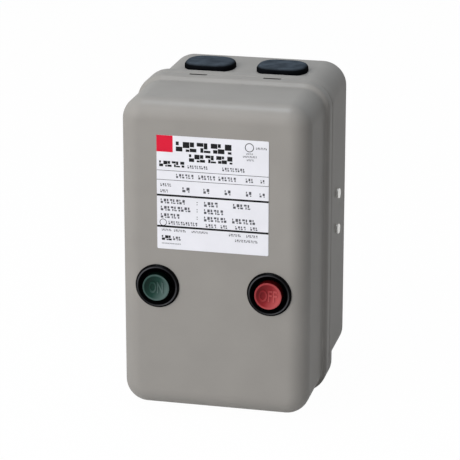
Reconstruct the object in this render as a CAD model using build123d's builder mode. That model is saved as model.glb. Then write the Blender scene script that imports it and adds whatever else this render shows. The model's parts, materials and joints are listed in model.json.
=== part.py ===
from build123d import *

import os
from math import pi, sqrt

# Magnetic motor starter: a contactor and a thermal overload relay on a rail in a
# pressed-steel wall box, with an ON and an OFF push button in its lift-off cover.
# Millimetres. The origin is the middle of the box's back, which lies on the wall.
# +Z is up and +X is right. Y = 0 is the wall, and the front faces -Y, so a depth
# below is a distance out from the wall along -Y.

# ---- sheet-metal box ---------------------------------------------------------
sheet = 1.2                  # wall of the cover and of the base
cover_width = 125.0
cover_height = 210.6
cover_corner = 15.6          # corner radius of the cover, seen from the front
face_fillet = 13.0           # round from the front face into the sides
cover_depth = 74.0           # front face to the rim's rear edge
rim_length = 16.9            # straight rim behind the step
rim_step = 2.7               # how far the rim stands out from the cover's sides
step_run = 6.0               # depth over which the side steps out
bead_width = 3.0             # pressed groove round the rim
bead_depth = 0.8
bead_inset = 8.0             # rim's rear edge to the groove
base_reach = 62.5            # wall to the rim's rear edge: the base that shows
base_corner = 16.4
base_back_radius = 2.4
rim_gap = 2.65               # rim's inside to the base's wall
lip_gap = 1.1                # rim's inside to the base's out-turned lip
seat_gap = 0.3               # lip's edge to the inside of the step it nests in

slot_length = 12.3           # release slots in the rim, over the spring clips
slot_width = 3.0
slot_spread = 50.0           # between the two slots of one edge
slot_inset = 11.5            # rim's rear edge to a slot's middle
clip_width = 10.0
clip_sheet = 0.6
clip_length = 14.0
clip_gap = 0.3               # clip's nib to the inside of the rim's groove

wall_hole_radius = 3.0       # four fixing holes in the back
wall_hole_inset_x = 15.35    # base's side to a fixing hole's middle
wall_hole_inset_z = 20.15

plug_inset = 36.45           # base's side to the nearer plug's axis, two plugs to an edge
plug_shift = 1.1             # both plugs of an edge to the left of the middle
plug_depth = 36.0            # wall to a plug's axis
plug_width = 34.2
plug_length = 28.2           # front to back
plug_corner = 11.8
plug_stand = 4.7
plug_edge = 1.8
plug_overhang = 4.1          # cap past the neck
plug_hole_gap = 0.1
plug_flange = 1.8            # inner flange past the neck
plug_flange_height = 2.6
plug_flange_chamfer = 1.6
plug_neck_wall = 2.6
plug_roof = 3.3

# ---- push-button operators ---------------------------------------------------
button_inset = 25.1          # cover's side to a button's axis
button_z = -19.6
panel_hole_radius = 11.15
barrel_radius = 11.0
barrel_length = 14.0         # behind the cover's face
barrel_floor = 2.0
bezel_radius = 14.75
bezel_height = 2.0
bezel_crest_radius = 13.1
bezel_crest_width = 1.2
well_radius = 10.2
well_brim = 0.4              # height of the well's edge above the cover
well_depth = 4.5
gasket_radius = 13.3
gasket_thickness = 0.6
nut_across_flats = 24.0
nut_thickness = 3.5
cap_radius = 9.0
cap_stand = 4.6              # cap's face in front of the cover's face
cap_length = 7.6
cap_dish = 0.9               # hollow of the cap's face
cap_floor_radius = 4.4       # flat middle of the hollow
cap_rim = 0.6                # width of the cap's level rim
cap_edge = 0.4
cap_gap = 0.3                # cap to the bore of the bezel
stem_radius = 3.0
stem_gap = 0.1
collar_radius = 4.6
collar_thickness = 1.5
collar_gap = 0.3
button_travel = 4.0
button_spring_radius = 5.6
spring_wall = 0.9            # thickness of a coil spring's sleeve

# ---- switch blocks behind the buttons ----------------------------------------
switch_setback = 14.5        # base's lip to the switch blocks' backs
switch_width = 18.0
switch_height = 30.0
switch_length = 32.0
switch_tower = 14.0          # height of the raised middle that guides the plunger
switch_shoulder = 12.0       # the terminal shoulders lie this far below the tower
switch_wall = 2.0
plunger_width = 6.0
plunger_gap = 0.1            # plunger to its guide
plunger_reach = 4.6          # plunger's head in front of the tower
push_gap = 0.3               # plunger's head to the button's stem
bridge_width = 4.0
bridge_sheet = 1.0
bridge_span = 16.0
switch_contact_depth = 10.5  # switch block's back to the front of its fixed strips
plunger_seat = 5.4           # switch block's back to the plunger's tail
switch_terminal = 10.0       # switch block's middle to a terminal screw
contact_gap = 0.05           # left between closed contacts at full travel
bracket_sheet = 1.5
bracket_bend = 2.0
side_screw_depth = 31.3      # wall to the two screws in each side of the base
side_screw_high = 19.4
side_screw_low = -5.9
side_screw_head = 3.5
side_screw_head_height = 2.2
side_screw_shank = 1.9
side_screw_length = 4.0

# ---- rail and contactor ------------------------------------------------------
rail_height = 35.0
rail_depth = 7.5
rail_sheet = 1.0
rail_web = 27.0
rail_margin = 12.15          # rail's end to the base's wall
rivet_inset = 9.0            # rail's end to a rivet
rivet_radius = 2.0
rivet_head = 3.6
rivet_head_height = 1.2

contactor_z = 38.0
contactor_width = 45.0
contactor_height = 74.0      # of the lower housing
upper_height = 60.0          # of the upper housing
lower_depth = 39.8           # lower housing, back to front
upper_depth = 35.0
arc_cover_depth = 8.7
rail_hook = 2.5              # how far the housing reaches behind the rail's flanges
hook_bite = 1.5              # how far the hook and the clip cover the flange
hook_slack = 0.3
wall_thin = 1.5
pole_pitch = 10.2
pole_room = 9.0              # clear width of one pole's chamber
chamber_half = 19.0          # half height of the contact chambers
end_wall = 2.0
floor_rise = 8.2             # upper housing's back to the top of its floor
floor_sheet = 2.4
strip_rise = 13.8            # upper housing's back to the front of its strips' bed
strip_sheet = 1.2
strip_width = 7.0
strip_reach = 7.0            # middle of the contactor to a fixed strip's inner end
tip_size = 3.6
tip_height = 1.0
bridge_strip = 5.8           # width of a moving contact
tip_place = 11.0
fork_slot = 3.2
terminal_inset = 1.0         # a strip's outer end to the edge of its housing

armature_travel = 5.5
core_height = 40.0
core_stack = 13.0
core_yoke = 7.0
limb_outer = 6.0
limb_middle = 12.0
window_length = 10.8
core_back = 2.5              # lower housing's back wall behind the core
core_room = 1.0              # core to the housing's walls
bobbin_gap = 0.4
bobbin_wall = 0.8
bobbin_flange = 1.0
bobbin_half_width = 16.0
bobbin_play = 0.2
winding_margin = 0.4
ring_sheet = 0.8
ring_height = 1.2
carrier_half_width = 20.4
carrier_height = 12.0
carrier_length = 26.6
carrier_gap = 0.3
carrier_top = 3.0
flag_width = 9.2
flag_height = 4.4
flag_length = 8.0
pole_spring_radius = 2.2
return_spring_radius = 3.0
return_spring_spread = 24.0
coil_terminal_drop = 5.0
clip_slot_width = 10.4
clip_plate = 1.2
clip_slide_gap = 0.1
clip_travel = 3.0
clip_tail = 3.5

screw_head = 2.7             # clamp screws of every terminal
screw_head_height = 2.0
screw_shank = 1.5
screw_length = 4.5
screw_play = 0.3             # screw's shank to a narrow pocket
nut_pocket = 4.2

# ---- thermal overload relay ---------------------------------------------------
relay_width = 44.0
relay_height = 72.0
relay_gap = 1.0              # relay's top to the contactor's lower edge
relay_back = 14.0            # wall to the relay's back
relay_depth = 56.0           # of the relay's housing
relay_cover_depth = 28.0
relay_cover_height = 58.0
relay_floor = 3.0
relay_top_wall = 3.0
relay_well = 12.0            # height of the output terminals' wells
relay_strip_rise = 36.0      # relay's back to the bed of its output strips
relay_wall = 1.5
pin_width = 5.0
pin_rise = 16.0              # how far the pins stand above the relay
heater_width = 3.4
heater_depth = 7.0
heater_length = 24.0
bimetal_sheet = 1.0
bimetal_width = 5.0
bimetal_gap = 0.4            # bimetal's side to its finger on the trip bar
bimetal_depth = 24.0         # relay's back to the bimetals' near edge
bar_height = 4.0
bar_depth = 4.0
bar_rise = 16.0              # relay's back to the trip bar
bar_gap = 0.3
finger_sheet = 1.4
trip_travel = 2.0
dial_radius = 5.5
dial_gap = 0.1
dial_stand = 1.2
dial_flange = 1.5
dial_x = -10.0
dial_drop = 16.0             # relay's top to the dial's axis
reset_size = 6.6
reset_stand = 3.2
reset_x = 11.0
reset_drop = 14.0
reset_travel = 2.5
test_width = 3.6
test_height = 4.8
test_stand = 1.6
test_drop = 29.0
test_travel = 1.2
key_gap = 0.15
key_collar = 1.2
key_body = 9.0
deck_height = 16.0
deck_drop = 12.0

# ---- earth stud and data plate -----------------------------------------------
earth_inset = 14.15          # base's wall to the earth stud
earth_z = -64.0
earth_radius = 2.5
earth_length = 16.0
earth_nut_flats = 8.0
earth_nut_height = 4.0
plate_width = 73.8
plate_height = 76.4
plate_sheet = 0.3
plate_x = -0.2
plate_z = 44.6
plate_corner = 0.8

# ---- worked-out places --------------------------------------------------------
face = base_reach + cover_depth
panel_back = face - sheet
rim_front = base_reach + rim_length
rim_width = cover_width + 2 * rim_step
rim_height = cover_height + 2 * rim_step
base_width = rim_width - 2 * (sheet + rim_gap)
base_height = rim_height - 2 * (sheet + rim_gap)
step_radius = (step_run**2 + rim_step**2) / (4 * rim_step)
nest_outer = step_radius - sheet - seat_gap
nest_inner = step_radius - sheet - lip_gap
lip_front = rim_front + sqrt(nest_outer**2 - nest_inner**2)
base_inner_width = base_width - 2 * sheet
wall_hole_spread_x = base_width - 2 * wall_hole_inset_x
wall_hole_spread_z = base_height - 2 * wall_hole_inset_z
earth_x = base_inner_width / 2 - earth_inset
clip_depth = base_reach + slot_inset

rail_length = base_inner_width - 2 * rail_margin
rivet_spread = rail_length - 2 * rivet_inset
rail_front = sheet + rail_depth
flange_back = rail_front - rail_sheet
lower_back = rail_front - rail_hook - rail_sheet
lower_front = lower_back + lower_depth
upper_front = lower_front + upper_depth
arc_front = upper_front + arc_cover_depth
contactor_half = contactor_height / 2
upper_half = upper_height / 2
pole_places = [(index - 1.5) * pole_pitch for index in range(4)]
main_poles = pole_places[:3]
strip_front = lower_front + strip_rise
strip_back = strip_front - strip_sheet
core_front = rail_front + core_back + core_yoke + window_length
moving_back = core_front + armature_travel + contact_gap
moving_front = moving_back + window_length + core_yoke
core_half = core_height / 2
room_half = core_half + core_room
room_half_width = bobbin_half_width + core_room
carrier_front = moving_front + carrier_length
bridge_back = strip_front + 2 * tip_height + armature_travel + contact_gap
spring_top = carrier_front - carrier_top
coil_strip_front = lower_front - coil_terminal_drop + strip_sheet

relay_top = contactor_z - contactor_half - relay_gap
relay_bottom = relay_top - relay_height
relay_front = relay_back + relay_depth
relay_face = relay_front + relay_cover_depth
relay_half = relay_width / 2
relay_strip = relay_back + relay_strip_rise

switch_back = lip_front - switch_setback
switch_front = switch_back + switch_length
plunger_head = switch_front + plunger_reach
stem_end = plunger_head + push_gap
button_x = cover_width / 2 - button_inset
button_places = {"on": -button_x, "off": button_x}


def facing(depth):
    """The plane parallel to the wall at a depth in front of it, looking outward."""
    return Plane.XZ.offset(depth)


def block(x, z, depth, mode=Mode.ADD):
    """A rectangular block of the part being built, between pairs of limits."""
    with BuildSketch(facing(depth[0])) as outline:
        with Locations(((x[0] + x[1]) / 2, (z[0] + z[1]) / 2)):
            Rectangle(x[1] - x[0], z[1] - z[0])
    extrude(outline.sketch, amount=depth[1] - depth[0], mode=mode)


def disc(x, z, radius, depth, mode=Mode.ADD):
    """A round of the part being built, with its axis square to the wall."""
    with BuildSketch(facing(depth[0])) as outline:
        with Locations((x, z)):
            Circle(radius)
    extrude(outline.sketch, amount=depth[1] - depth[0], mode=mode)


def about(middle, half):
    """The limits that lie a half size each side of a middle."""
    return (middle - half, middle + half)


def save(part, name):
    """Labels a finished piece and writes its file."""
    part.label = name
    export_step(part, f"parts/{name}.step")


os.makedirs("parts", exist_ok=True)

# ---- front cover ---------------------------------------------------------------
# The section of the pressed wall is carried round the cover's outline, and the flat
# of the face closes it.
with BuildPart() as front_cover:
    side_x = cover_width / 2
    with BuildSketch(Plane.XY):
        with BuildLine():
            rim_x = side_x + rim_step
            shoulder = (side_x + rim_step / 2, -(rim_front + step_run / 2))
            bead_front = -(base_reach + bead_inset + bead_width)
            bead_floor = rim_x - bead_depth
            TangentArc(
                (side_x - face_fillet, -face), (side_x, face_fillet - face), tangent=(1, 0)
            )
            side = Line((side_x, face_fillet - face), (side_x, -(rim_front + step_run)))
            TangentArc(side @ 1, shoulder, tangent=(0, 1))
            RadiusArc(shoulder, (rim_x, -rim_front), -step_radius)
            Polyline(
                (rim_x, -rim_front),
                (rim_x, bead_front),
                (bead_floor, bead_front + bead_depth),
                (bead_floor, bead_front + bead_width - bead_depth),
                (rim_x, bead_front + bead_width),
                (rim_x, -base_reach),
            )
            offset(amount=sheet, side=Side.LEFT)
        make_face()
    with BuildLine(facing(rim_front)):
        FilletPolyline(
            (side_x, cover_height / 2),
            (-side_x, cover_height / 2),
            (-side_x, -cover_height / 2),
            (side_x, -cover_height / 2),
            radius=cover_corner,
            close=True,
        )
    sweep()
    with BuildSketch(facing(panel_back)):
        RectangleRounded(
            cover_width - 2 * face_fillet,
            cover_height - 2 * face_fillet,
            cover_corner - face_fillet,
        )
    extrude(amount=sheet)
    with BuildSketch(facing(panel_back)):
        with Locations((button_places["on"], button_z), (button_places["off"], button_z)):
            Circle(panel_hole_radius)
    extrude(amount=sheet, mode=Mode.SUBTRACT)
    with BuildSketch(Plane.XY):
        with Locations((0, -clip_depth)):
            with GridLocations(slot_spread, 0, 2, 1):
                SlotOverall(slot_length, slot_width)
    extrude(amount=rim_height / 2, both=True, mode=Mode.SUBTRACT)
save(front_cover.part, "front_cover")

with BuildPart() as data_plate:
    with BuildSketch(facing(face)):
        with Locations((plate_x, plate_z)):
            RectangleRounded(plate_width, plate_height, plate_corner)
    extrude(amount=plate_sheet)
save(data_plate.part, "data_plate")

# ---- base box --------------------------------------------------------------------
plug_places = about(-plug_shift, base_width / 2 - plug_inset)
plug_spots = [(place, -plug_depth) for place in plug_places]
neck_width = plug_width - 2 * plug_overhang
neck_length = plug_length - 2 * plug_overhang
neck_corner = plug_corner - plug_overhang
side_screw_heights = (side_screw_low, side_screw_high)
with BuildPart() as base_box:
    with BuildSketch(Plane.XZ):
        RectangleRounded(base_width, base_height, base_corner)
    extrude(amount=lip_front)
    fillet(base_box.faces().sort_by(Axis.Y)[-1].edges(), base_back_radius)
    with BuildSketch(facing(sheet)):
        RectangleRounded(
            base_inner_width, base_height - 2 * sheet, base_corner - sheet
        )
    extrude(amount=lip_front, mode=Mode.SUBTRACT)
    with BuildSketch(facing(lip_front - sheet)):
        RectangleRounded(
            rim_width - 2 * (sheet + lip_gap),
            rim_height - 2 * (sheet + lip_gap),
            cover_corner + rim_step - sheet - lip_gap,
        )
        RectangleRounded(
            base_inner_width,
            base_height - 2 * sheet,
            base_corner - sheet,
            mode=Mode.SUBTRACT,
        )
    extrude(amount=sheet)
    with BuildSketch(facing(0)):
        with GridLocations(wall_hole_spread_x, wall_hole_spread_z, 2, 2):
            Circle(wall_hole_radius)
        with Locations((0, contactor_z)):
            with GridLocations(rivet_spread, 0, 2, 1):
                Circle(rivet_radius)
    extrude(amount=sheet, mode=Mode.SUBTRACT)
    with BuildSketch(Plane.XY):
        with Locations(*plug_spots):
            RectangleRounded(
                neck_width + 2 * plug_hole_gap,
                neck_length + 2 * plug_hole_gap,
                neck_corner + plug_hole_gap,
            )
    extrude(amount=base_height / 2, both=True, mode=Mode.SUBTRACT)
    with BuildSketch(Plane.YZ):
        with Locations(*[(-side_screw_depth, height) for height in side_screw_heights]):
            Circle(side_screw_shank)
    extrude(amount=base_width / 2, both=True, mode=Mode.SUBTRACT)
save(base_box.part, "base_box")

# Each rubber plug is a groove round its oblong hole: a bevelled cap outside the wall,
# a neck through it and a thinner flange inside, hollow up to the cap's roof.
with BuildPart() as cable_plugs:
    wall_out = base_height / 2
    wall_in = wall_out - sheet
    with BuildSketch(Plane.XY.offset(wall_out)):
        with Locations(*plug_spots):
            RectangleRounded(plug_width, plug_length, plug_corner)
    extrude(amount=plug_stand)
    chamfer(cable_plugs.faces().sort_by(Axis.Z)[-2:].edges(), plug_edge)
    with BuildSketch(Plane.XY.offset(wall_in)):
        with Locations(*plug_spots):
            RectangleRounded(neck_width, neck_length, neck_corner)
    extrude(amount=sheet)
    with BuildSketch(Plane.XY.offset(wall_in - plug_flange_height)):
        with Locations(*plug_spots):
            RectangleRounded(
                neck_width + 2 * plug_flange,
                neck_length + 2 * plug_flange,
                neck_corner + plug_flange,
            )
    extrude(amount=plug_flange_height)
    chamfer(cable_plugs.faces().sort_by(Axis.Z)[:2].edges(), plug_flange_chamfer)
    with BuildSketch(Plane.XY.offset(wall_in - plug_flange_height)):
        with Locations(*plug_spots):
            RectangleRounded(
                neck_width - 2 * plug_neck_wall,
                neck_length - 2 * plug_neck_wall,
                neck_corner - plug_neck_wall,
            )
    extrude(
        amount=plug_flange_height + sheet + plug_stand - plug_roof,
        mode=Mode.SUBTRACT,
    )
    mirror(about=Plane.XY)
save(cable_plugs.part, "cable_plugs")

# Spring clips lie on the base's wall, each with a nib under a slot of the rim.
with BuildPart() as cover_clips:
    clip_rise = rim_height / 2 - sheet - bead_depth - clip_gap
    clip_front = lip_front - sheet - clip_gap
    with BuildSketch(Plane.YZ) as clip_section:
        with BuildLine():
            Polyline(
                (-(clip_front - clip_length), wall_out),
                (-(clip_front - clip_length), wall_out + clip_sheet),
                (-(clip_depth - 2 * slot_width / 3), wall_out + clip_sheet),
                (-(clip_depth - slot_width / 3), clip_rise),
                (-(clip_depth + slot_width / 3), clip_rise),
                (-(clip_depth + 2 * slot_width / 3), wall_out + clip_sheet),
                (-clip_front, wall_out + clip_sheet),
                (-clip_front, wall_out),
                (-(clip_front - clip_length), wall_out),
            )
        make_face()
    for place in about(0, slot_spread / 2):
        across = clip_section.sketch.moved(Location((place, 0, 0)))
        extrude(across, amount=clip_width / 2, both=True)
    mirror(about=Plane.XY)
save(cover_clips.part, "cover_clips")

with BuildPart() as side_screws:
    for height in side_screw_heights:
        with BuildSketch(Plane.YZ.offset(base_width / 2)):
            with Locations((-side_screw_depth, height)):
                Circle(side_screw_head)
        extrude(amount=side_screw_head_height)
        with BuildSketch(Plane.YZ.offset(base_width / 2)):
            with Locations((-side_screw_depth, height)):
                Circle(side_screw_shank)
        extrude(amount=-side_screw_length)
    mirror(about=Plane.YZ)
save(side_screws.part, "side_screws")

with BuildPart() as earth_stud:
    disc(earth_x, earth_z, earth_radius, (sheet, sheet + earth_length))
save(earth_stud.part, "earth_stud")

with BuildPart() as earth_nut:
    with BuildSketch(facing(sheet)):
        with Locations((earth_x, earth_z)):
            RegularPolygon(earth_nut_flats / 2, 6, major_radius=False)
            Circle(earth_radius, mode=Mode.SUBTRACT)
    extrude(amount=earth_nut_height)
save(earth_nut.part, "earth_nut")

# ---- push-button operators ----------------------------------------------------------
# Every round piece is turned about its button's own axis, with its section drawn from
# the axis outward and from the cover's face forward.
def turned_piece(place, points):
    """A turned piece from a closed list of (radius, depth in front of the face)."""
    base_plane = Plane(origin=(place, -face, button_z), x_dir=(1, 0, 0), z_dir=(0, 0, 1))
    with BuildPart() as turned:
        with BuildSketch(base_plane):
            with BuildLine():
                Polyline([(radius, -front) for radius, front in points], close=True)
            make_face()
        revolve(axis=Axis((place, 0, button_z), (0, 1, 0)))
    return turned.part


bore_radius = cap_radius + cap_gap
barrel_end = -barrel_length
stem_hole = stem_radius + stem_gap
cap_back = cap_stand - cap_length
collar_front = barrel_end - collar_gap
for name, place in button_places.items():
    bezel = turned_piece(
        place,
        [
            (bezel_radius, 0),
            (bezel_radius, bezel_height / 2),
            (bezel_crest_radius + bezel_crest_width / 2, bezel_height),
            (bezel_crest_radius - bezel_crest_width / 2, bezel_height),
            (well_radius, well_brim),
            (well_radius, -well_depth),
            (bore_radius, -well_depth),
            (bore_radius, barrel_end + barrel_floor),
            (stem_hole, barrel_end + barrel_floor),
            (stem_hole, barrel_end),
            (barrel_radius, barrel_end),
            (barrel_radius, gasket_thickness),
            (gasket_radius, gasket_thickness),
            (gasket_radius, 0),
        ],
    )
    save(bezel, f"{name}_bezel")
    button = turned_piece(
        place,
        [
            (0, cap_stand - cap_dish),
            (cap_floor_radius, cap_stand - cap_dish),
            (cap_radius - cap_edge - cap_rim, cap_stand),
            (cap_radius - cap_edge, cap_stand),
            (cap_radius, cap_stand - cap_edge),
            (cap_radius, cap_back),
            (stem_radius, cap_back),
            (stem_radius, collar_front),
            (collar_radius, collar_front),
            (collar_radius, collar_front - collar_thickness),
            (stem_radius, collar_front - collar_thickness),
            (stem_radius, stem_end - face),
            (0, stem_end - face),
        ],
    )
    save(button, f"{name}_button")
    spring = turned_piece(
        place,
        [
            (button_spring_radius - spring_wall, barrel_end + barrel_floor),
            (button_spring_radius, barrel_end + barrel_floor),
            (button_spring_radius, cap_back),
            (button_spring_radius - spring_wall, cap_back),
        ],
    )
    save(spring, f"{name}_button_spring")

with BuildPart() as bezel_gaskets:
    for place in button_places.values():
        disc(place, button_z, gasket_radius, (face, face + gasket_thickness))
        disc(
            place,
            button_z,
            barrel_radius,
            (face, face + gasket_thickness),
            mode=Mode.SUBTRACT,
        )
save(bezel_gaskets.part, "bezel_gaskets")

with BuildPart() as bezel_nuts:
    with BuildSketch(facing(panel_back - nut_thickness)):
        with Locations(*[(place, button_z) for place in button_places.values()]):
            RegularPolygon(nut_across_flats / 2, 6, major_radius=False, rotation=30)
            Circle(barrel_radius, mode=Mode.SUBTRACT)
    extrude(amount=nut_thickness)
save(bezel_nuts.part, "bezel_nuts")

# ---- switch blocks behind the buttons ------------------------------------------------
# A bent bracket screwed to each side wall carries one switch block in line with its
# button. The block is a stepped moulding, hollow, with a square guide for its plunger.
plunger_slot = plunger_width / 2 + plunger_gap
switch_half = switch_height / 2
contact_front = switch_back + switch_contact_depth
guide_wall = 2 * switch_wall
terminal_front = switch_front - switch_shoulder
spring_seat = switch_back + plunger_seat
contact_back = contact_front - strip_sheet
riser_out = switch_half - switch_wall
shank_room = screw_shank + plunger_gap
for name, place in button_places.items():
    side = 1 if place > 0 else -1
    wall_x = side * base_inner_width / 2
    inner_x = place - side * switch_width / 2
    with BuildPart() as bracket:
        with BuildSketch(Plane.XY.offset(button_z - switch_half)):
            with BuildLine():
                FilletPolyline(
                    (wall_x, -(side_screw_depth - 2 * side_screw_head)),
                    (wall_x, -switch_back),
                    (inner_x, -switch_back),
                    radius=bracket_bend,
                )
                offset(amount=bracket_sheet, side=Side.RIGHT if side > 0 else Side.LEFT)
            make_face()
        extrude(amount=side_screw_high + 2 * side_screw_head - button_z + switch_half)
        block(
            about(place, switch_width),
            (button_z + switch_half, side_screw_high + 4 * side_screw_head),
            (side_screw_depth + 2 * side_screw_head, switch_back),
            mode=Mode.SUBTRACT,
        )
        with BuildSketch(Plane.YZ):
            with Locations(*[(-side_screw_depth, height) for height in side_screw_heights]):
                Circle(side_screw_shank)
        extrude(amount=wall_x, mode=Mode.SUBTRACT)
    save(bracket.part, f"{name}_switch_bracket")

    with BuildPart() as housing:
        block(
            about(place, switch_width / 2),
            about(button_z, switch_half),
            (switch_back, terminal_front),
        )
        block(
            about(place, switch_width / 2),
            about(button_z, switch_tower / 2),
            (terminal_front, switch_front),
        )
        block(
            about(place, switch_width / 2 - switch_wall),
            about(button_z, switch_half - switch_wall),
            (switch_back, terminal_front - switch_wall),
            mode=Mode.SUBTRACT,
        )
        block(
            about(place, switch_width / 2 - switch_wall),
            about(button_z, switch_tower / 2 - switch_wall),
            (switch_back, switch_front - guide_wall),
            mode=Mode.SUBTRACT,
        )
        block(
            about(place, plunger_slot),
            about(button_z, plunger_slot),
            (switch_front - guide_wall, switch_front),
            mode=Mode.SUBTRACT,
        )
        for end in (-1, 1):
            block(
                about(place, strip_width / 2 + plunger_gap),
                about(button_z + end * (riser_out - strip_sheet / 2), strip_sheet / 2),
                (terminal_front - switch_wall, terminal_front),
                mode=Mode.SUBTRACT,
            )
            disc(
                place,
                button_z + end * switch_terminal,
                shank_room,
                (terminal_front - switch_wall, terminal_front),
                mode=Mode.SUBTRACT,
            )
    save(housing.part, f"{name}_switch_housing")

    closes = name == "on"
    travel_room = button_travel + contact_gap
    if closes:
        bridge_near = contact_front + 2 * tip_height + travel_room
    else:
        bridge_near = contact_back - 2 * tip_height - bridge_sheet
    bridge_far = bridge_near + bridge_sheet
    with BuildPart() as plunger:
        block(
            about(place, plunger_width / 2),
            about(button_z, plunger_width / 2),
            (spring_seat, plunger_head),
        )
        block(
            about(place, plunger_width / 2 + switch_wall),
            about(button_z, plunger_width / 2 + switch_wall / 2),
            (
                switch_front - guide_wall - plunger_gap - switch_wall,
                switch_front - guide_wall - plunger_gap,
            ),
        )
        block(
            about(place, bridge_width / 2),
            about(button_z, bridge_span),
            (bridge_near, bridge_far),
            mode=Mode.SUBTRACT,
        )
    save(plunger.part, f"{name}_plunger")

    tip_range = (bridge_near - tip_height, bridge_near)
    if not closes:
        tip_range = (bridge_far, bridge_far + tip_height)
    with BuildPart() as bridge:
        block(
            about(place, bridge_width / 2),
            about(button_z, bridge_span / 2),
            (bridge_near, bridge_far),
        )
        for middle in about(button_z, bridge_span / 2 - bridge_sheet - tip_size / 2):
            block(about(place, tip_size / 2), about(middle, tip_size / 2), tip_range)
    save(bridge.part, f"{name}_switch_bridge")

    with BuildPart() as spring:
        disc(place, button_z, plunger_width / 2, (switch_back, spring_seat))
        disc(
            place,
            button_z,
            plunger_width / 2 - spring_wall,
            (switch_back, spring_seat),
            mode=Mode.SUBTRACT,
        )
    save(spring.part, f"{name}_switch_spring")

# Fixed contacts: a plate under the terminal screw, a riser through the shoulder and an
# arm inside that carries the contact tip.
with BuildPart() as switch_contacts:
    arm_end = bridge_span / 2 - bridge_sheet - tip_size
    for name, place in button_places.items():
        tip_range = (contact_front, contact_front + tip_height)
        if name == "off":
            tip_range = (contact_back - tip_height, contact_back)
        for end in (-1, 1):
            outer = button_z + end * riser_out
            arm = sorted((button_z + end * arm_end, outer))
            riser = sorted((outer - end * strip_sheet, outer))
            plate = sorted((button_z + end * (switch_tower / 2 + plunger_gap), outer))
            tip = button_z + end * (arm_end + tip_size / 2)
            block(about(place, strip_width / 2), arm, (contact_back, contact_front))
            block(
                about(place, strip_width / 2),
                riser,
                (contact_back, terminal_front + strip_sheet),
            )
            block(
                about(place, strip_width / 2),
                plate,
                (terminal_front, terminal_front + strip_sheet),
            )
            block(about(place, tip_size / 2), about(tip, tip_size / 2), tip_range)
            disc(
                place,
                button_z + end * switch_terminal,
                shank_room,
                (terminal_front, terminal_front + strip_sheet),
                mode=Mode.SUBTRACT,
            )
save(switch_contacts.part, "switch_contacts")

# ---- rail -----------------------------------------------------------------------------
web_half = rail_web / 2 - rail_sheet
rivet_face = sheet + rail_sheet
with BuildPart() as din_rail:
    with BuildSketch(Plane.YZ):
        with BuildLine():
            Polyline(
                (-rail_front, contactor_z - rail_height / 2),
                (-rail_front, contactor_z - web_half),
                (-rivet_face, contactor_z - web_half),
                (-rivet_face, contactor_z + web_half),
                (-rail_front, contactor_z + web_half),
                (-rail_front, contactor_z + rail_height / 2),
            )
            offset(amount=rail_sheet, side=Side.RIGHT)
        make_face()
    extrude(amount=rail_length / 2, both=True)
    with BuildSketch(facing(sheet)):
        with Locations((0, contactor_z)):
            with GridLocations(rivet_spread, 0, 2, 1):
                Circle(rivet_radius)
    extrude(amount=rail_sheet, mode=Mode.SUBTRACT)
save(din_rail.part, "din_rail")

with BuildPart() as rail_rivets:
    with BuildSketch(facing(0)):
        with Locations((0, contactor_z)):
            with GridLocations(rivet_spread, 0, 2, 1):
                Circle(rivet_radius)
    extrude(amount=rivet_face)
    with BuildSketch(facing(rivet_face)):
        with Locations((0, contactor_z)):
            with GridLocations(rivet_spread, 0, 2, 1):
                Circle(rivet_head)
    extrude(amount=rivet_head_height)
save(rail_rivets.part, "rail_rivets")

# ---- contactor ---------------------------------------------------------------------------
carrier_half = carrier_height / 2
slot_half = strip_width / 2 + contact_gap
well_start = chamber_half + end_wall
flange_edge = rail_height / 2
hook_edge = flange_edge - hook_bite
pocket_low = flange_edge + hook_slack + clip_travel
clip_half = clip_slot_width / 2
clip_back = lower_back + clip_plate / 2
clip_slot_front = clip_back + clip_plate + 2 * clip_slide_gap
coil_bed = lower_front - coil_terminal_drop
coil_places = (pole_places[0], pole_places[3])

# Lower housing: hooked over the rail, with the slot of its rail clip, the room for the
# magnet and coil, and the two coil terminals' wells on its top ledge.
with BuildPart() as contactor_base:
    block(
        about(0, contactor_width / 2),
        about(contactor_z, contactor_half),
        (lower_back, lower_front),
    )
    block(
        about(0, contactor_width / 2),
        (contactor_z - flange_edge - hook_slack, contactor_z + hook_edge),
        (lower_back, flange_back - hook_slack / 2),
        mode=Mode.SUBTRACT,
    )
    block(
        about(0, contactor_width / 2),
        about(contactor_z, flange_edge + hook_slack),
        (flange_back - hook_slack / 2, rail_front),
        mode=Mode.SUBTRACT,
    )
    block(
        about(0, clip_half),
        (contactor_z - contactor_half, contactor_z - pocket_low),
        (clip_back, clip_slot_front),
        mode=Mode.SUBTRACT,
    )
    block(
        about(0, clip_half),
        (contactor_z - pocket_low, contactor_z - flange_edge),
        (clip_back, flange_back),
        mode=Mode.SUBTRACT,
    )
    block(
        about(0, room_half_width),
        about(contactor_z, room_half),
        (rail_front + core_back, lower_front),
        mode=Mode.SUBTRACT,
    )
    for place in coil_places:
        block(
            about(place, pole_room / 2),
            (contactor_z + upper_half + wall_thin / 2, contactor_z + contactor_half),
            (coil_bed, lower_front),
            mode=Mode.SUBTRACT,
        )
        block(
            about(place, strip_width / 2 + contact_gap),
            (contactor_z + room_half, contactor_z + upper_half + wall_thin / 2),
            (coil_bed, coil_strip_front + contact_gap),
            mode=Mode.SUBTRACT,
        )
        block(
            about(place, nut_pocket / 2),
            about(contactor_z + upper_half + nut_pocket, screw_shank + screw_play),
            (coil_bed - screw_length, coil_bed),
            mode=Mode.SUBTRACT,
        )
save(contactor_base.part, "contactor_base")

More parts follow.
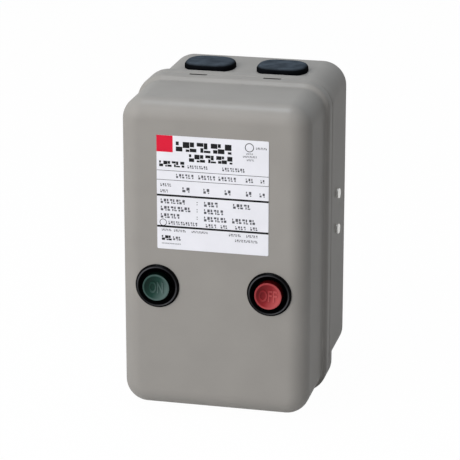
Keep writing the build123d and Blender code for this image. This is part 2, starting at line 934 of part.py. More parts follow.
# Upper housing: the floor with its slot for the carrier, four contact chambers between
# ribs, and the terminal wells above and below them.
with BuildPart() as contactor_body:
    block(
        about(0, contactor_width / 2),
        about(contactor_z, upper_half),
        (lower_front, upper_front),
    )
    block(
        about(0, room_half_width),
        about(contactor_z, room_half),
        (lower_front, lower_front + floor_rise),
        mode=Mode.SUBTRACT,
    )
    block(
        about(0, carrier_half_width + carrier_gap),
        about(contactor_z, carrier_half + carrier_gap),
        (lower_front, upper_front),
        mode=Mode.SUBTRACT,
    )
    for place in pole_places:
        block(
            about(place, pole_room / 2),
            about(contactor_z, chamber_half),
            (lower_front + floor_rise + floor_sheet, upper_front),
            mode=Mode.SUBTRACT,
        )
        block(
            about(place, slot_half),
            about(contactor_z, well_start),
            (strip_back, strip_front + contact_gap),
            mode=Mode.SUBTRACT,
        )
        for well in (
            (contactor_z - upper_half, contactor_z - well_start),
            (contactor_z + well_start, contactor_z + upper_half),
        ):
            block(
                about(place, pole_room / 2),
                well,
                (strip_back, upper_front),
                mode=Mode.SUBTRACT,
            )
            block(
                about(place, nut_pocket / 2),
                about((well[0] + well[1]) / 2, nut_pocket / 2),
                (strip_back - screw_length, strip_back),
                mode=Mode.SUBTRACT,
            )
    fillet(
        contactor_body.edges().filter_by(Axis.Y).group_by(SortBy.LENGTH)[-1], wall_thin / 2
    )
save(contactor_body.part, "contactor_body")

# Arc cover: a cap over the chambers with one barrier between each pair of poles and a
# window for the carrier's flag.
with BuildPart() as arc_cover:
    cap_half = well_start
    block(
        about(0, contactor_width / 2), about(contactor_z, cap_half), (upper_front, arc_front)
    )
    fillet(arc_cover.edges().filter_by(Axis.Y), wall_thin)
    block(
        about(0, contactor_width / 2 - wall_thin),
        about(contactor_z, chamber_half),
        (upper_front, arc_front - wall_thin),
        mode=Mode.SUBTRACT,
    )
    for place in (-pole_pitch, 0, pole_pitch):
        for middle in about(contactor_z, (chamber_half + carrier_half + wall_thin) / 2):
            block(
                about(place, (pole_pitch - pole_room) / 2),
                about(middle, (chamber_half - carrier_half - wall_thin) / 2),
                (upper_front, arc_front - wall_thin),
            )
    block(
        about(0, flag_width / 2 + carrier_gap),
        about(contactor_z, flag_height / 2 + carrier_gap),
        (arc_front - wall_thin, arc_front),
        mode=Mode.SUBTRACT,
    )
save(arc_cover.part, "arc_cover")


def e_core(back, front, slot_side):
    """An E-shaped stack of laminations: its windows open forward or to the rear."""
    block(about(0, core_stack / 2), about(contactor_z, core_half), (back, front))
    window_half = (core_half - limb_outer - limb_middle / 2) / 2
    if slot_side == "front":
        window_range = (front - window_length, front)
    else:
        window_range = (back, back + window_length)
    for middle in about(contactor_z, limb_middle / 2 + window_half):
        block(
            about(0, core_stack / 2),
            about(middle, window_half),
            window_range,
            mode=Mode.SUBTRACT,
        )


ring_inner = core_half - limb_outer / 2
with BuildPart() as stationary_core:
    e_core(rail_front + core_back, core_front, "front")
    for middle in about(contactor_z, ring_inner - ring_sheet / 2):
        block(
            about(0, core_stack / 2),
            about(middle, ring_sheet / 2),
            (core_front - 2 * ring_height, core_front),
            mode=Mode.SUBTRACT,
        )
save(stationary_core.part, "stationary_core")

with BuildPart() as moving_core:
    e_core(moving_back, moving_front, "back")
save(moving_core.part, "moving_core")

# Shading rings: a copper frame round the outer half of each outer limb.
with BuildPart() as shading_rings:
    for end in (-1, 1):
        inner = contactor_z + end * ring_inner
        outer = contactor_z + end * core_half
        ring_range = (core_front - 2 * ring_height, core_front - ring_height)
        block(
            about(0, core_stack / 2 + ring_sheet),
            sorted((inner - end * ring_sheet, outer + end * ring_sheet)),
            ring_range,
        )
        block(
            about(0, core_stack / 2),
            sorted((inner, outer)),
            ring_range,
            mode=Mode.SUBTRACT,
        )
save(shading_rings.part, "shading_rings")

# Coil: a moulded bobbin round the middle limb with the winding between its flanges.
bobbin_back = rail_front + core_back + core_yoke + bobbin_play
bobbin_front = bobbin_back + 2 * window_length - bobbin_play
bore_half_x = core_stack / 2 + bobbin_gap
bore_half_z = limb_middle / 2 + bobbin_gap
bobbin_half_z = core_half - limb_outer - bobbin_gap
with BuildPart() as coil_bobbin:
    block(
        about(0, bore_half_x + bobbin_wall),
        about(contactor_z, bore_half_z + bobbin_wall),
        (bobbin_back, bobbin_front),
    )
    for flange in (
        (bobbin_back, bobbin_back + bobbin_flange),
        (bobbin_front - bobbin_flange, bobbin_front),
    ):
        block(about(0, bobbin_half_width), about(contactor_z, bobbin_half_z), flange)
    block(
        about(0, bore_half_x),
        about(contactor_z, bore_half_z),
        (bobbin_back, bobbin_front),
        mode=Mode.SUBTRACT,
    )
save(coil_bobbin.part, "coil_bobbin")

with BuildPart() as coil_winding:
    with BuildSketch(facing(bobbin_back + bobbin_flange)):
        with Locations((0, contactor_z)):
            RectangleRounded(
                2 * (bobbin_half_width - winding_margin),
                2 * (bobbin_half_z - winding_margin),
                limb_outer / 2,
            )
            Rectangle(
                2 * (bore_half_x + bobbin_wall),
                2 * (bore_half_z + bobbin_wall),
                mode=Mode.SUBTRACT,
            )
    extrude(amount=bobbin_front - bobbin_back - 2 * bobbin_flange)
save(coil_winding.part, "coil_winding")

with BuildPart() as return_springs:
    for place in about(0, return_spring_spread / 2):
        disc(place, contactor_z, return_spring_radius, (bobbin_front, moving_front))
        disc(
            place,
            contactor_z,
            return_spring_radius - spring_wall,
            (bobbin_front, moving_front),
            mode=Mode.SUBTRACT,
        )
save(return_springs.part, "return_springs")

# Contact carrier: a moulded bar with a window for each pole's bridge and its spring, and
# a flag that shows through the arc cover.
with BuildPart() as contact_carrier:
    block(
        about(0, carrier_half_width),
        about(contactor_z, carrier_half),
        (moving_front, carrier_front),
    )
    block(
        about(0, flag_width / 2),
        about(contactor_z, flag_height / 2),
        (carrier_front, carrier_front + flag_length),
    )
    for place in pole_places:
        block(
            about(place, strip_width / 2),
            about(contactor_z, carrier_half),
            (bridge_back, spring_top),
            mode=Mode.SUBTRACT,
        )
save(contact_carrier.part, "contact_carrier")

bridge_front = bridge_back + strip_sheet
with BuildPart() as moving_contacts:
    for place in pole_places:
        block(
            about(place, bridge_strip / 2),
            about(contactor_z, tip_place + tip_size / 2),
            (bridge_back, bridge_front),
        )
        for middle in about(contactor_z, tip_place):
            block(
                about(place, tip_size / 2),
                about(middle, tip_size / 2),
                (bridge_back - tip_height, bridge_back),
            )
save(moving_contacts.part, "moving_contacts")

with BuildPart() as contact_springs:
    for place in pole_places:
        disc(place, contactor_z, pole_spring_radius, (bridge_front, spring_top))
save(contact_springs.part, "contact_springs")

# Fixed strips: one above and one below for each pole, with the tip at the inner end and a
# slot for the clamp screw at the outer end.
screw_place = (well_start + upper_half) / 2
for end, name in ((1, "line_contacts"), (-1, "load_contacts")):
    with BuildPart() as strips:
        for place in pole_places:
            block(
                about(place, strip_width / 2),
                sorted(
                    (
                        contactor_z + end * strip_reach,
                        contactor_z + end * (upper_half - terminal_inset),
                    )
                ),
                (strip_back, strip_front),
            )
            block(
                about(place, tip_size / 2),
                about(contactor_z + end * tip_place, tip_size / 2),
                (strip_front, strip_front + tip_height),
            )
            block(
                about(place, fork_slot / 2),
                sorted(
                    (
                        contactor_z + end * (screw_place - fork_slot / 2),
                        contactor_z + end * (upper_half - terminal_inset),
                    )
                ),
                (strip_back, strip_front),
                mode=Mode.SUBTRACT,
            )
    save(strips.part, name)

with BuildPart() as coil_terminals:
    for place in coil_places:
        block(
            about(place, strip_width / 2),
            (contactor_z + room_half, contactor_z + contactor_half - terminal_inset),
            (coil_bed, coil_strip_front),
        )
        block(
            about(place, fork_slot / 2),
            (
                contactor_z + upper_half + nut_pocket - fork_slot / 2,
                contactor_z + contactor_half - terminal_inset,
            ),
            (coil_bed, coil_strip_front),
            mode=Mode.SUBTRACT,
        )
save(coil_terminals.part, "coil_terminals")

with BuildPart() as rail_clip:
    plate_back = clip_back + clip_slide_gap
    block(
        about(0, clip_half - clip_slide_gap),
        (
            contactor_z - contactor_half - clip_tail,
            contactor_z - hook_edge,
        ),
        (plate_back, plate_back + clip_plate),
    )
    block(
        about(0, clip_half - clip_slide_gap),
        (
            contactor_z - flange_edge - hook_slack + clip_slide_gap,
            contactor_z - hook_edge,
        ),
        (plate_back, flange_back - hook_slack / 2),
    )
save(rail_clip.part, "rail_clip")


# ---- thermal overload relay -----------------------------------------------------------
relay_span = (relay_bottom, relay_top)
heater_low = relay_bottom + relay_well + relay_wall
heater_high = relay_top - relay_top_wall
bed = relay_strip
bar_range = (relay_back + bar_rise, relay_back + bar_rise + bar_depth)
bimetal_range = (relay_back + bimetal_depth, relay_back + bimetal_depth + bimetal_width)
bimetal_top = heater_high - 2 * bar_height
bar_z = bimetal_top - bar_height
output_screw_z = relay_bottom + relay_well / 2

# Housing: one chamber for each heater, one for the trip gear, and the output wells below.
with BuildPart() as relay_housing:
    block(about(0, relay_half), relay_span, (relay_back, relay_front))
    for place in pole_places:
        block(
            about(place, pole_room / 2),
            (heater_low, heater_high),
            (relay_back + relay_floor, relay_front),
            mode=Mode.SUBTRACT,
        )
    block(
        (pole_places[0], pole_places[3]),
        about(bar_z, bar_height / 2 + bar_gap),
        (bar_range[0] - bar_gap, bar_range[1] + bar_gap),
        mode=Mode.SUBTRACT,
    )
    for place in main_poles:
        block(
            about(place, pole_room / 2),
            (relay_bottom, relay_bottom + relay_well),
            (bed, relay_front),
            mode=Mode.SUBTRACT,
        )
        block(
            about(place, slot_half),
            (relay_bottom + relay_well, heater_low),
            (bed, bed + strip_sheet + contact_gap),
            mode=Mode.SUBTRACT,
        )
        block(
            about(place, nut_pocket / 2),
            about(output_screw_z, nut_pocket / 2),
            (bed - screw_length, bed),
            mode=Mode.SUBTRACT,
        )
        block(
            about(place, pin_width / 2 + contact_gap),
            (heater_high, relay_top),
            (strip_front - contact_gap, strip_front + strip_sheet + contact_gap),
            mode=Mode.SUBTRACT,
        )
save(relay_housing.part, "relay_housing")

# Cover of the relay: the dial, reset and test openings above, and a lower deck with the
# wells of its control terminals.
cover_low = relay_top - relay_cover_height
deck_top = cover_low + deck_height
deck_face = relay_face - deck_drop
deck_bed = deck_face - 2 * screw_head_height - strip_sheet
dial_z = relay_top - dial_drop
reset_z = relay_top - reset_drop
test_z = relay_top - test_drop
with BuildPart() as relay_cover:
    block(about(0, relay_half), (cover_low, relay_top), (relay_front, relay_face))
    fillet(relay_cover.edges().filter_by(Axis.Y).group_by(Axis.Z)[-1], relay_wall)
    block(
        about(0, relay_half),
        (cover_low, deck_top),
        (deck_face, relay_face),
        mode=Mode.SUBTRACT,
    )
    block(
        about(0, relay_half - relay_wall),
        (deck_top + relay_wall, relay_top - relay_wall),
        (relay_front, relay_face - 2 * relay_wall),
        mode=Mode.SUBTRACT,
    )
    disc(
        dial_x,
        dial_z,
        dial_radius + dial_gap,
        (relay_face - 2 * relay_wall, relay_face),
        mode=Mode.SUBTRACT,
    )
    block(
        about(reset_x, reset_size / 2 + key_gap),
        about(reset_z, reset_size / 2 + key_gap),
        (relay_face - 2 * relay_wall, relay_face),
        mode=Mode.SUBTRACT,
    )
    block(
        about(reset_x, test_width / 2 + key_gap),
        about(test_z, test_height / 2 + key_gap),
        (relay_face - 2 * relay_wall, relay_face),
        mode=Mode.SUBTRACT,
    )
    for place in pole_places:
        block(
            about(place, pole_room / 2),
            (cover_low, deck_top - relay_wall),
            (deck_bed, deck_face),
            mode=Mode.SUBTRACT,
        )
        block(
            about(place, nut_pocket / 2),
            about((cover_low + deck_top - relay_wall) / 2, nut_pocket / 2),
            (deck_bed - screw_length, deck_bed),
            mode=Mode.SUBTRACT,
        )
save(relay_cover.part, "relay_cover")

# Input pins: clamped in the contactor's load terminals above, turned down inside to the
# heads of the heaters.
heater_front = bimetal_range[1]
pin_back = strip_front
pin_front = strip_front + strip_sheet
pin_heel = heater_high - strip_sheet
with BuildPart() as relay_pins:
    for place in main_poles:
        block(
            about(place, pin_width / 2),
            (pin_heel, relay_top + pin_rise),
            (pin_back, pin_front),
        )
        block(
            about(place, fork_slot / 2),
            (contactor_z - screw_place - fork_slot / 2, relay_top + pin_rise),
            (pin_back, pin_front),
            mode=Mode.SUBTRACT,
        )
        block(
            about(place, pin_width / 2),
            (pin_heel, heater_high),
            (bimetal_range[0], pin_front),
        )
save(relay_pins.part, "relay_pins")

# Heaters: each bimetal hangs free at its upper end beside the trip bar and is fixed at
# its foot, which runs out to the output terminal; a winding surrounds its middle.
with BuildPart() as bimetal_heaters:
    heater_end = heater_low + 2 * heater_depth
    for place in main_poles:
        block(
            about(place, bimetal_sheet / 2),
            (heater_low, bimetal_top),
            bimetal_range,
        )
        block(
            about(place, heater_width / 2),
            (heater_end - heater_depth, heater_end - heater_depth + heater_length),
            about(sum(bimetal_range) / 2, heater_depth / 2),
        )
        block(
            about(place, bimetal_sheet),
            (heater_low, pin_heel),
            (heater_front + bimetal_sheet, heater_front + 2 * bimetal_sheet),
        )
        block(
            about(place, bimetal_sheet),
            (heater_low, heater_low + strip_sheet),
            (bimetal_range[0], bed),
        )
save(bimetal_heaters.part, "bimetal_heaters")

with BuildPart() as output_terminals:
    for place in main_poles:
        block(
            about(place, strip_width / 2),
            (relay_bottom + terminal_inset, heater_low + 2 * strip_sheet),
            (bed, bed + strip_sheet),
        )
        block(
            about(place, fork_slot / 2),
            (relay_bottom + terminal_inset, output_screw_z + fork_slot / 2),
            (bed, bed + strip_sheet),
            mode=Mode.SUBTRACT,
        )
save(output_terminals.part, "output_terminals")

with BuildPart() as control_terminals:
    deck_screw_z = (cover_low + deck_top - relay_wall) / 2
    for place in pole_places:
        block(
            about(place, strip_width / 2),
            (cover_low + terminal_inset, deck_top - relay_wall),
            (deck_bed, deck_bed + strip_sheet),
        )
        block(
            about(place, fork_slot / 2),
            (cover_low + terminal_inset, deck_screw_z + fork_slot / 2),
            (deck_bed, deck_bed + strip_sheet),
            mode=Mode.SUBTRACT,
        )
save(control_terminals.part, "control_terminals")

with BuildPart() as trip_bar:
    finger_near = bimetal_sheet / 2 + bimetal_gap
    block(
        (pole_places[0] + finger_near, pole_places[3] - 2 * trip_travel),
        about(bar_z, bar_height / 2),
        bar_range,
    )
    for place in main_poles:
        block(
            (place + finger_near, place + finger_near + finger_sheet),
            (bar_z - bar_height / 2, bimetal_top),
            (bar_range[0], bimetal_range[1]),
        )
save(trip_bar.part, "trip_bar")

# Dial: a slotted knob that a flange holds behind the cover's wall.
with BuildPart() as current_dial:
    wall_back = relay_face - 2 * relay_wall
    disc(
        dial_x, dial_z, dial_radius, (wall_back - key_body, relay_face + dial_stand)
    )
    disc(
        dial_x,
        dial_z,
        dial_radius + dial_flange,
        (wall_back - dial_gap - dial_flange, wall_back - dial_gap),
    )
    block(
        about(dial_x, dial_stand / 2),
        about(dial_z, dial_radius),
        (relay_face, relay_face + dial_stand),
        mode=Mode.SUBTRACT,
    )
save(current_dial.part, "current_dial")

for name, z, width, height, stand, travel in (
    ("reset_button", reset_z, reset_size, reset_size, reset_stand, reset_travel),
    ("test_button", test_z, test_width, test_height, test_stand, test_travel),
):
    with BuildPart() as key:
        block(
            about(reset_x, width / 2),
            about(z, height / 2),
            (wall_back - key_body, relay_face + stand),
        )
        fillet(key.edges().group_by(Axis.Y)[0], relay_wall / 3)
        block(
            about(reset_x, width / 2 + key_collar),
            about(z, height / 2 + key_collar),
            (wall_back - key_gap - key_collar, wall_back - key_gap),
        )
    save(key.part, name)


# ---- terminal screws ----------------------------------------------------------------------
def clamp_screw(x, z, seat):
    """A pan-headed clamp screw with its head on a seat and its shank behind it."""
    disc(x, z, screw_shank, (seat - screw_length, seat))
    disc(x, z, screw_head, (seat, seat + screw_head_height))


contactor_seats = [
    (place, contactor_z + screw_place, strip_front) for place in pole_places
]
contactor_seats += [(place, contactor_z - screw_place, pin_front) for place in main_poles]
contactor_seats += [(pole_places[3], contactor_z - screw_place, strip_front)]
contactor_seats += [
    (place, contactor_z + upper_half + nut_pocket, coil_strip_front)
    for place in coil_places
]
relay_seats = [(place, output_screw_z, bed + strip_sheet) for place in main_poles]
relay_seats += [(place, deck_screw_z, deck_bed + strip_sheet) for place in pole_places]
switch_seats = [
    (place, button_z + end * switch_terminal, terminal_front + strip_sheet)
    for place in button_places.values()
    for end in (-1, 1)
]
for name, seats in (
    ("contactor_screws", contactor_seats),
    ("relay_screws", relay_seats),
    ("switch_screws", switch_seats),
):
    with BuildPart() as screws:
        for seat in seats:
            clamp_screw(*seat)
    save(screws.part, name)
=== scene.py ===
import json
from math import pi, radians

import bmesh
import bpy
import numpy as np
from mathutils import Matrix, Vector
from mathutils.geometry import tessellate_polygon


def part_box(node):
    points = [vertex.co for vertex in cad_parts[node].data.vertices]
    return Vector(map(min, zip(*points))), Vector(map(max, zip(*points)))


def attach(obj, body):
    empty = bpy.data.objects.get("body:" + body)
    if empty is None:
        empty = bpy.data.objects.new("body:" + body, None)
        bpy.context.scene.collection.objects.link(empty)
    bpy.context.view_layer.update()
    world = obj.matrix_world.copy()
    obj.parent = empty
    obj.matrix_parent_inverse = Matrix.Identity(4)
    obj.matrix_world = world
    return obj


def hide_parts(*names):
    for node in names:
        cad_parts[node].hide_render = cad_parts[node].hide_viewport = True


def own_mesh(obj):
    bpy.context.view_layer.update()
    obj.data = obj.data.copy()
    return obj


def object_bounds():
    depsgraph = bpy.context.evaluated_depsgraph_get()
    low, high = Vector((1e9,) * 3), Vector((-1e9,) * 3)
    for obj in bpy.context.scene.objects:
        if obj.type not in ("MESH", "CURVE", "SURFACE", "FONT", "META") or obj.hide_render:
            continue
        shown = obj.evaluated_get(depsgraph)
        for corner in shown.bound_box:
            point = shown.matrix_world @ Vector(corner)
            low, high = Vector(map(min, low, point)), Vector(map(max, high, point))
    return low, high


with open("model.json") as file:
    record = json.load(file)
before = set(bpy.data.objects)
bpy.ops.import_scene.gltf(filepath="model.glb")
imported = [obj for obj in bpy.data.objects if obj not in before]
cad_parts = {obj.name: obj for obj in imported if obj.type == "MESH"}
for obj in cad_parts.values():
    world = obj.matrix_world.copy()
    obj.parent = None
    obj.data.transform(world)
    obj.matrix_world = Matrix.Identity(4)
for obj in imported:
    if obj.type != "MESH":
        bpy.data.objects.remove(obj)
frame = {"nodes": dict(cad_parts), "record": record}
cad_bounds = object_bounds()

bl_info = {
    "name": "Motor starter finish",
    "version": (1, 0, 0),
    "blender": (4, 5, 0),
    "location": "3D View > Sidebar > Motor starter",
    "description": "Surfaces, finishes and stage for a magnetic motor starter",
    "category": "Object",
}

# Lengths are metres. The wall is the plane Y = 0 and the front of the starter faces -Y,
# so a depth is a distance out from the wall along -Y.
MM = 0.001
COVER_LOW, COVER_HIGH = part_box("front_cover")
BASE_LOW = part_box("base_box")[0]
PLATE_LOW, PLATE_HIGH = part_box("data_plate")
NODES = frame["nodes"]
FRONT = (0, -1, 0)


# ---- settings ----
def number(name, description, default, **more):
    """A plain number setting."""
    return bpy.props.FloatProperty(name=name, description=description, default=default, **more)


def length(name, description, default):
    """A length setting, given in millimetres and held in metres."""
    return number(name, description, default * MM, unit="LENGTH", precision=5)


def angle(name, description, default):
    """An angle setting, given in degrees and held in radians."""
    return number(name, description, radians(default), unit="ROTATION")


def colour(name, description, default):
    """A colour setting, in linear red, green and blue."""
    return bpy.props.FloatVectorProperty(
        name=name, description=description, default=default, subtype="COLOR", size=3
    )


class StarterShell(bpy.types.PropertyGroup):
    """Sheet-metal sizes that the cover and the base share."""

    sheet: length("Sheet", "Thickness of the pressed steel", 1.2)
    corner: length("Corner", "Corner radius of the cover's sides", 15.6)
    face_round: length("Face round", "Round from the front face to the sides", 13.0)
    rim_step: length("Rim step", "How far the rim stands out from the sides", 2.7)
    step_run: length("Step run", "Depth over which the side steps out", 6.0)
    rim_length: length("Rim length", "Straight rim behind the step", 16.9)
    groove_width: length("Groove width", "Pressed groove round the rim", 2.4)
    groove_depth: length("Groove depth", "Depth of the pressed groove", 0.45)
    groove_inset: length("Groove inset", "Rim's rear edge to the groove", 8.0)
    edge_round: length("Edge round", "Round of the rim's rear edge", 0.5)
    slot_length: length("Slot length", "Release slot in the rim", 12.3)
    slot_width: length("Slot width", "Width of a release slot", 3.0)
    slot_spread: length("Slot spread", "Between the two slots of one edge", 50.0)
    slot_inset: length("Slot inset", "Rim's rear edge to a slot's middle", 11.5)
    panel_hole: length("Panel hole", "Radius of a button's hole in the cover", 11.15)
    base_inset: length("Base inset", "Rim's outside to the base's walls", 3.85)
    fixing_hole: length("Fixing hole", "Radius of a wall screw's hole", 3.0)
    fixing_spread_x: length("Fixing spread", "Between fixing holes, across", 92.0)
    fixing_spread_z: length("Fixing rise", "Between fixing holes, up", 168.0)
    base_corner: length("Base corner", "Corner radius of the base", 16.4)
    back_round: length("Back round", "Round from the base's back to its sides", 2.4)
    lip_gap: length("Lip gap", "Rim's inside to the base's out-turned lip", 1.1)
    paint: colour("Paint", "Grey stoving enamel", (0.300, 0.282, 0.261))


class StarterButtons(bpy.types.PropertyGroup):
    """Bezels, caps and their lettering."""

    crest_radius: length("Crest radius", "Middle of the bezel's raised ring", 13.1)
    crest_height: length("Crest height", "Raised ring above the cover", 2.0)
    crest_round: length("Crest round", "Round of the raised ring's top", 0.6)
    mouth_radius: length("Mouth radius", "Foot of the funnel inside the ring", 10.9)
    well_radius: length("Well radius", "Hollow round the cap", 10.2)
    well_depth: length("Well depth", "Depth of the hollow round the cap", 4.5)
    bezel_wall: length("Bezel wall", "Wall of the hollow behind the well", 0.9)
    bezel_floor: length("Bezel floor", "Floor of the bezel's barrel", 2.0)
    bezel_edge: length("Bezel edge", "Small step on the bezel's outer edge", 0.15)
    barrel_radius: length("Barrel radius", "Bezel's barrel behind the cover", 11.0)
    seal_radius: length("Seal radius", "Outside of the bezel's seal", 13.3)
    seal_height: length("Seal height", "Thickness of the bezel's seal", 0.6)
    stem_hole: length("Stem hole", "Hole for the button's stem", 3.1)
    stem_radius: length("Stem radius", "Stem behind a cap", 3.0)
    collar_radius: length("Collar radius", "Collar that keeps the stem in", 4.6)
    collar_width: length("Collar width", "Thickness of the collar", 1.5)
    collar_back: length("Collar place", "Cap's front to the collar", 18.9)
    cap_length: length("Cap length", "Cap's front to the cap's back", 7.6)
    rim_width: length("Cap rim", "Width of the cap's raised edge", 0.9)
    dish: length("Cap dish", "Hollow of the cap's face", 1.5)
    letter_height: length("Letter height", "Height of ON and OFF", 8.0)
    on_width: length("ON width", "Width of the letters ON", 9.4)
    off_width: length("OFF width", "Width of the letters OFF", 12.2)
    letter_relief: length("Letter relief", "How far the letters are raised", 0.45)
    # Painted highlight: how much lighter the letters' tops are painted.
    letter_highlight: number("Letter wear", "How much more the letters are rubbed", 0.16)
    # Painted light: how fast the painted highlight at the lower right and the painted shade at the
    # left grow across a cap's face.
    face_painted_light: number("Face wear", "How wear grows across a cap's face", 0.36)
    letter_weight: number("Letter weight", "Thickening of the strokes, as a share", 0.022)
    letter_mesh: number("Letter mesh", "Cells to the height of a line of text", 14.0)


class StarterPlate(bpy.types.PropertyGroup):
    """The film on the cover, with a plain table in place of its wording."""

    paper: colour("Film", "White film", (0.80, 0.79, 0.83))
    ink: colour("Ink", "Printed black", (0.006, 0.006, 0.007))
    pale_ink: colour("Pale ink", "Printed grey", (0.085, 0.085, 0.095))
    badge: colour("Badge", "Plain red corner", (0.66, 0.008, 0.035))
    ink_height: length("Ink height", "Thickness of the print", 0.03)


class StarterHardware(bpy.types.PropertyGroup):
    """Screws, springs and rubber plugs."""

    recess_width: number("Recess width", "Cross recess, as a share of the head", 0.20)
    recess_reach: number("Recess reach", "Arm of the recess, as a share", 0.62)
    recess_depth: number("Recess depth", "Depth of the recess, as a share", 0.34)
    plug_corner: length("Plug corner", "Corner radius of a cable plug, from its end", 11.8)
    plug_edge: length("Plug edge", "Round of a cable plug's top edge", 3.0)
    plug_overhang: length("Plug overhang", "A plug's cap past its neck", 4.1)
    plug_flange: length("Plug flange", "Inner flange past the neck", 1.8)
    plug_flange_height: length("Flange height", "Inner flange, along the plug", 2.6)
    plug_chamfer: length("Flange chamfer", "Slope that lets the flange through", 1.6)
    plug_wall: length("Plug wall", "Rubber round the hollow of the neck", 2.6)
    plug_roof: length("Plug roof", "Rubber over the hollow of the neck", 3.3)
    plug_gap: length("Plug gap", "Neck of a plug to its hole", 0.1)
    side_head: length("Side head", "Radius of a side screw's head", 3.5)
    side_head_rise: length("Side head rise", "Height of a side screw's head", 2.2)
    head: length("Head", "Radius of a terminal screw's head", 2.7)
    head_rise: length("Head rise", "Height of a terminal screw's head", 2.0)
    shank: length("Shank", "Radius of a terminal screw's shank", 1.5)
    shank_reach: length("Shank reach", "Shank behind a terminal screw's head", 4.5)
    rubber: colour("Rubber", "Black rubber", (0.0035, 0.0040, 0.0050))


class StarterStage(bpy.types.PropertyGroup):
    """Camera, lamps and floor."""

    azimuth: angle("Azimuth", "Camera to the right of the front", 13.313)
    elevation: angle("Elevation", "Camera above level", 17.847)
    distance: length("Distance", "Camera to the aim point", 1479.8)
    aim_x: length("Aim across", "Aim point, across", 9.28)
    aim_depth: length("Aim depth", "Aim point, out from the wall", 127.9)
    aim_z: length("Aim height", "Aim point, up", 19.35)
    focal: number("Focal length", "Lens, in millimetres on a 36 mm frame", 178.79)
    key_power: number("Key lamp", "Watts of the soft lamp in front, up at the left", 24.5)
    top_power: number("Top lamp", "Watts of the soft lamp overhead", 13.0)
    sky: number("Sky", "Strength of the plain surroundings", 0.12)


# ---- surfaces ----
def stacked(*parts):
    """Arrays of one shape, side by side along a new last axis."""
    return np.stack(parts, axis=-1)


def full_turn(steps):
    """Evenly spaced angles once round."""
    return np.linspace(0.0, 2.0 * pi, steps, endpoint=False)


def square_to(out):
    """A unit vector along out, and two that are square to it and to each other."""
    out = Vector(out).normalized()
    across = out.orthogonal().normalized()
    return np.array(out), np.array(across), np.array(out.cross(across))


def spokes(turn, across, up):
    """Unit vectors away from an axis: cos t * across + sin t * up for each angle t."""
    return np.outer(np.cos(turn), across) + np.outer(np.sin(turn), up)


def surface(points, ring=False):
    """A (points, faces) pair from a grid of shape rows, columns, 3, with a four-sided
    face between neighbours. ring joins the last column to the first."""
    rows, columns = points.shape[:2]
    index = np.arange(rows * columns).reshape(rows, columns)
    if ring:
        index = np.concatenate([index, index[:, :1]], axis=1)
    faces = stacked(index[:-1, :-1], index[1:, :-1], index[1:, 1:], index[:-1, 1:])
    return points.reshape(-1, 3), faces.reshape(-1, 4).tolist()


def joined(*surfaces):
    """Several (points, faces) pairs as one: each later face is counted on from the
    number of points before it."""
    points, faces, start = [], [], 0
    for some_points, some_faces in surfaces:
        points.append(some_points)
        faces += [[start + corner for corner in face] for face in some_faces]
        start += len(some_points)
    return np.concatenate(points), faces


def arc(centre, radius, first, last, steps):
    """Points of a round: centre plus radius times (cosine, sine) of evenly spaced angles
    from first to last, in degrees."""
    turn = np.radians(np.linspace(first, last, steps))
    return np.array(centre) + radius * stacked(np.cos(turn), np.sin(turn))


def circle(x, z, radius, steps=48):
    """Points of a full circle, as (x, z) pairs."""
    turn = full_turn(steps)
    return stacked(x + radius * np.cos(turn), z + radius * np.sin(turn))


def upright(pairs, depth):
    """(x, z) pairs as points at a depth in front of the wall."""
    return stacked(pairs[..., 0], np.full(pairs.shape[:-1], -depth), pairs[..., 1])


def turned(profile, centre, out, segments=96):
    """A turned surface: each profile pair (radius, height) is carried round the axis.

    A point is centre + height * out + radius * (cos t * across + sin t * up), where
    across and up are square to out and t takes segments even steps of a full turn.
    """
    out, across, up = square_to(out)
    profile = np.asarray(profile, float)
    radius, height = profile[:, 0, None, None], profile[:, 1, None, None]
    points = np.array(centre) + height * out + radius * spokes(full_turn(segments), across, up)
    return surface(points, ring=True)


def rounded_outline(width, height, corner, offset, steps=24):
    """A rounded rectangle moved outward by offset, as (x, z) pairs, anticlockwise.

    Each corner keeps its centre, so its points are centre + (corner + offset) times
    (cos t, sin t), and the straight sides move out by the same offset.
    """
    quarters = np.radians(np.linspace(0.0, 90.0, steps)) + np.radians([[0], [90], [180], [270]])
    signs = np.array([[1, 1], [-1, 1], [-1, -1], [1, -1]])
    centres = signs * (np.array([width, height]) / 2 - corner)
    ring = stacked(np.cos(quarters), np.sin(quarters))
    return (centres[:, None, :] + (corner + offset) * ring).reshape(-1, 2)


def pressed(width, height, corner, section, steps=24):
    """A wall carried round a rounded rectangle.

    Each section pair (offset, depth) gives one ring: the outline moved outward by
    offset, at that depth in front of the wall. Returns the rings as a grid.
    """
    return np.array([
        upright(rounded_outline(width, height, corner, offset, steps), depth)
        for offset, depth in section
    ])


def level_rings(width, length, corner, section, centre, side):
    """A closed piece of level rounded rectangles, one to each section pair.

    A pair (offset, height) is the outline moved outward by offset, at centre plus side *
    height along Z. The first and the last outline are filled in to their middles.
    """
    rings = pressed(width, length, corner, section, 12)
    points = np.array(centre) + stacked(rings[..., 0], rings[..., 2], -side * rings[..., 1])
    hubs = np.broadcast_to(points.mean(axis=1, keepdims=True), points.shape)
    return surface(np.concatenate([hubs[:1], points, hubs[-1:]]), ring=True)


def panel(outline, depth, holes):
    """A flat sheet inside an outline of (x, z) pairs, with round holes (x, z, radius)."""
    loops = [outline] + [circle(*hole) for hole in holes]
    flat = [[Vector((x, z, 0.0)) for x, z in loop] for loop in loops]
    faces = [list(face) for face in tessellate_polygon(flat)]
    return upright(np.concatenate(loops), depth), faces


def pierced(outline, near, far, holes):
    """Two panels with the same round holes at two depths, and the holes' walls."""
    rings = [np.stack([upright(circle(*hole), depth) for depth in (near, far)]) for hole in holes]
    walls = [surface(ring, ring=True) for ring in rings]
    return joined(panel(outline, near, holes), panel(outline, far, holes), *walls)


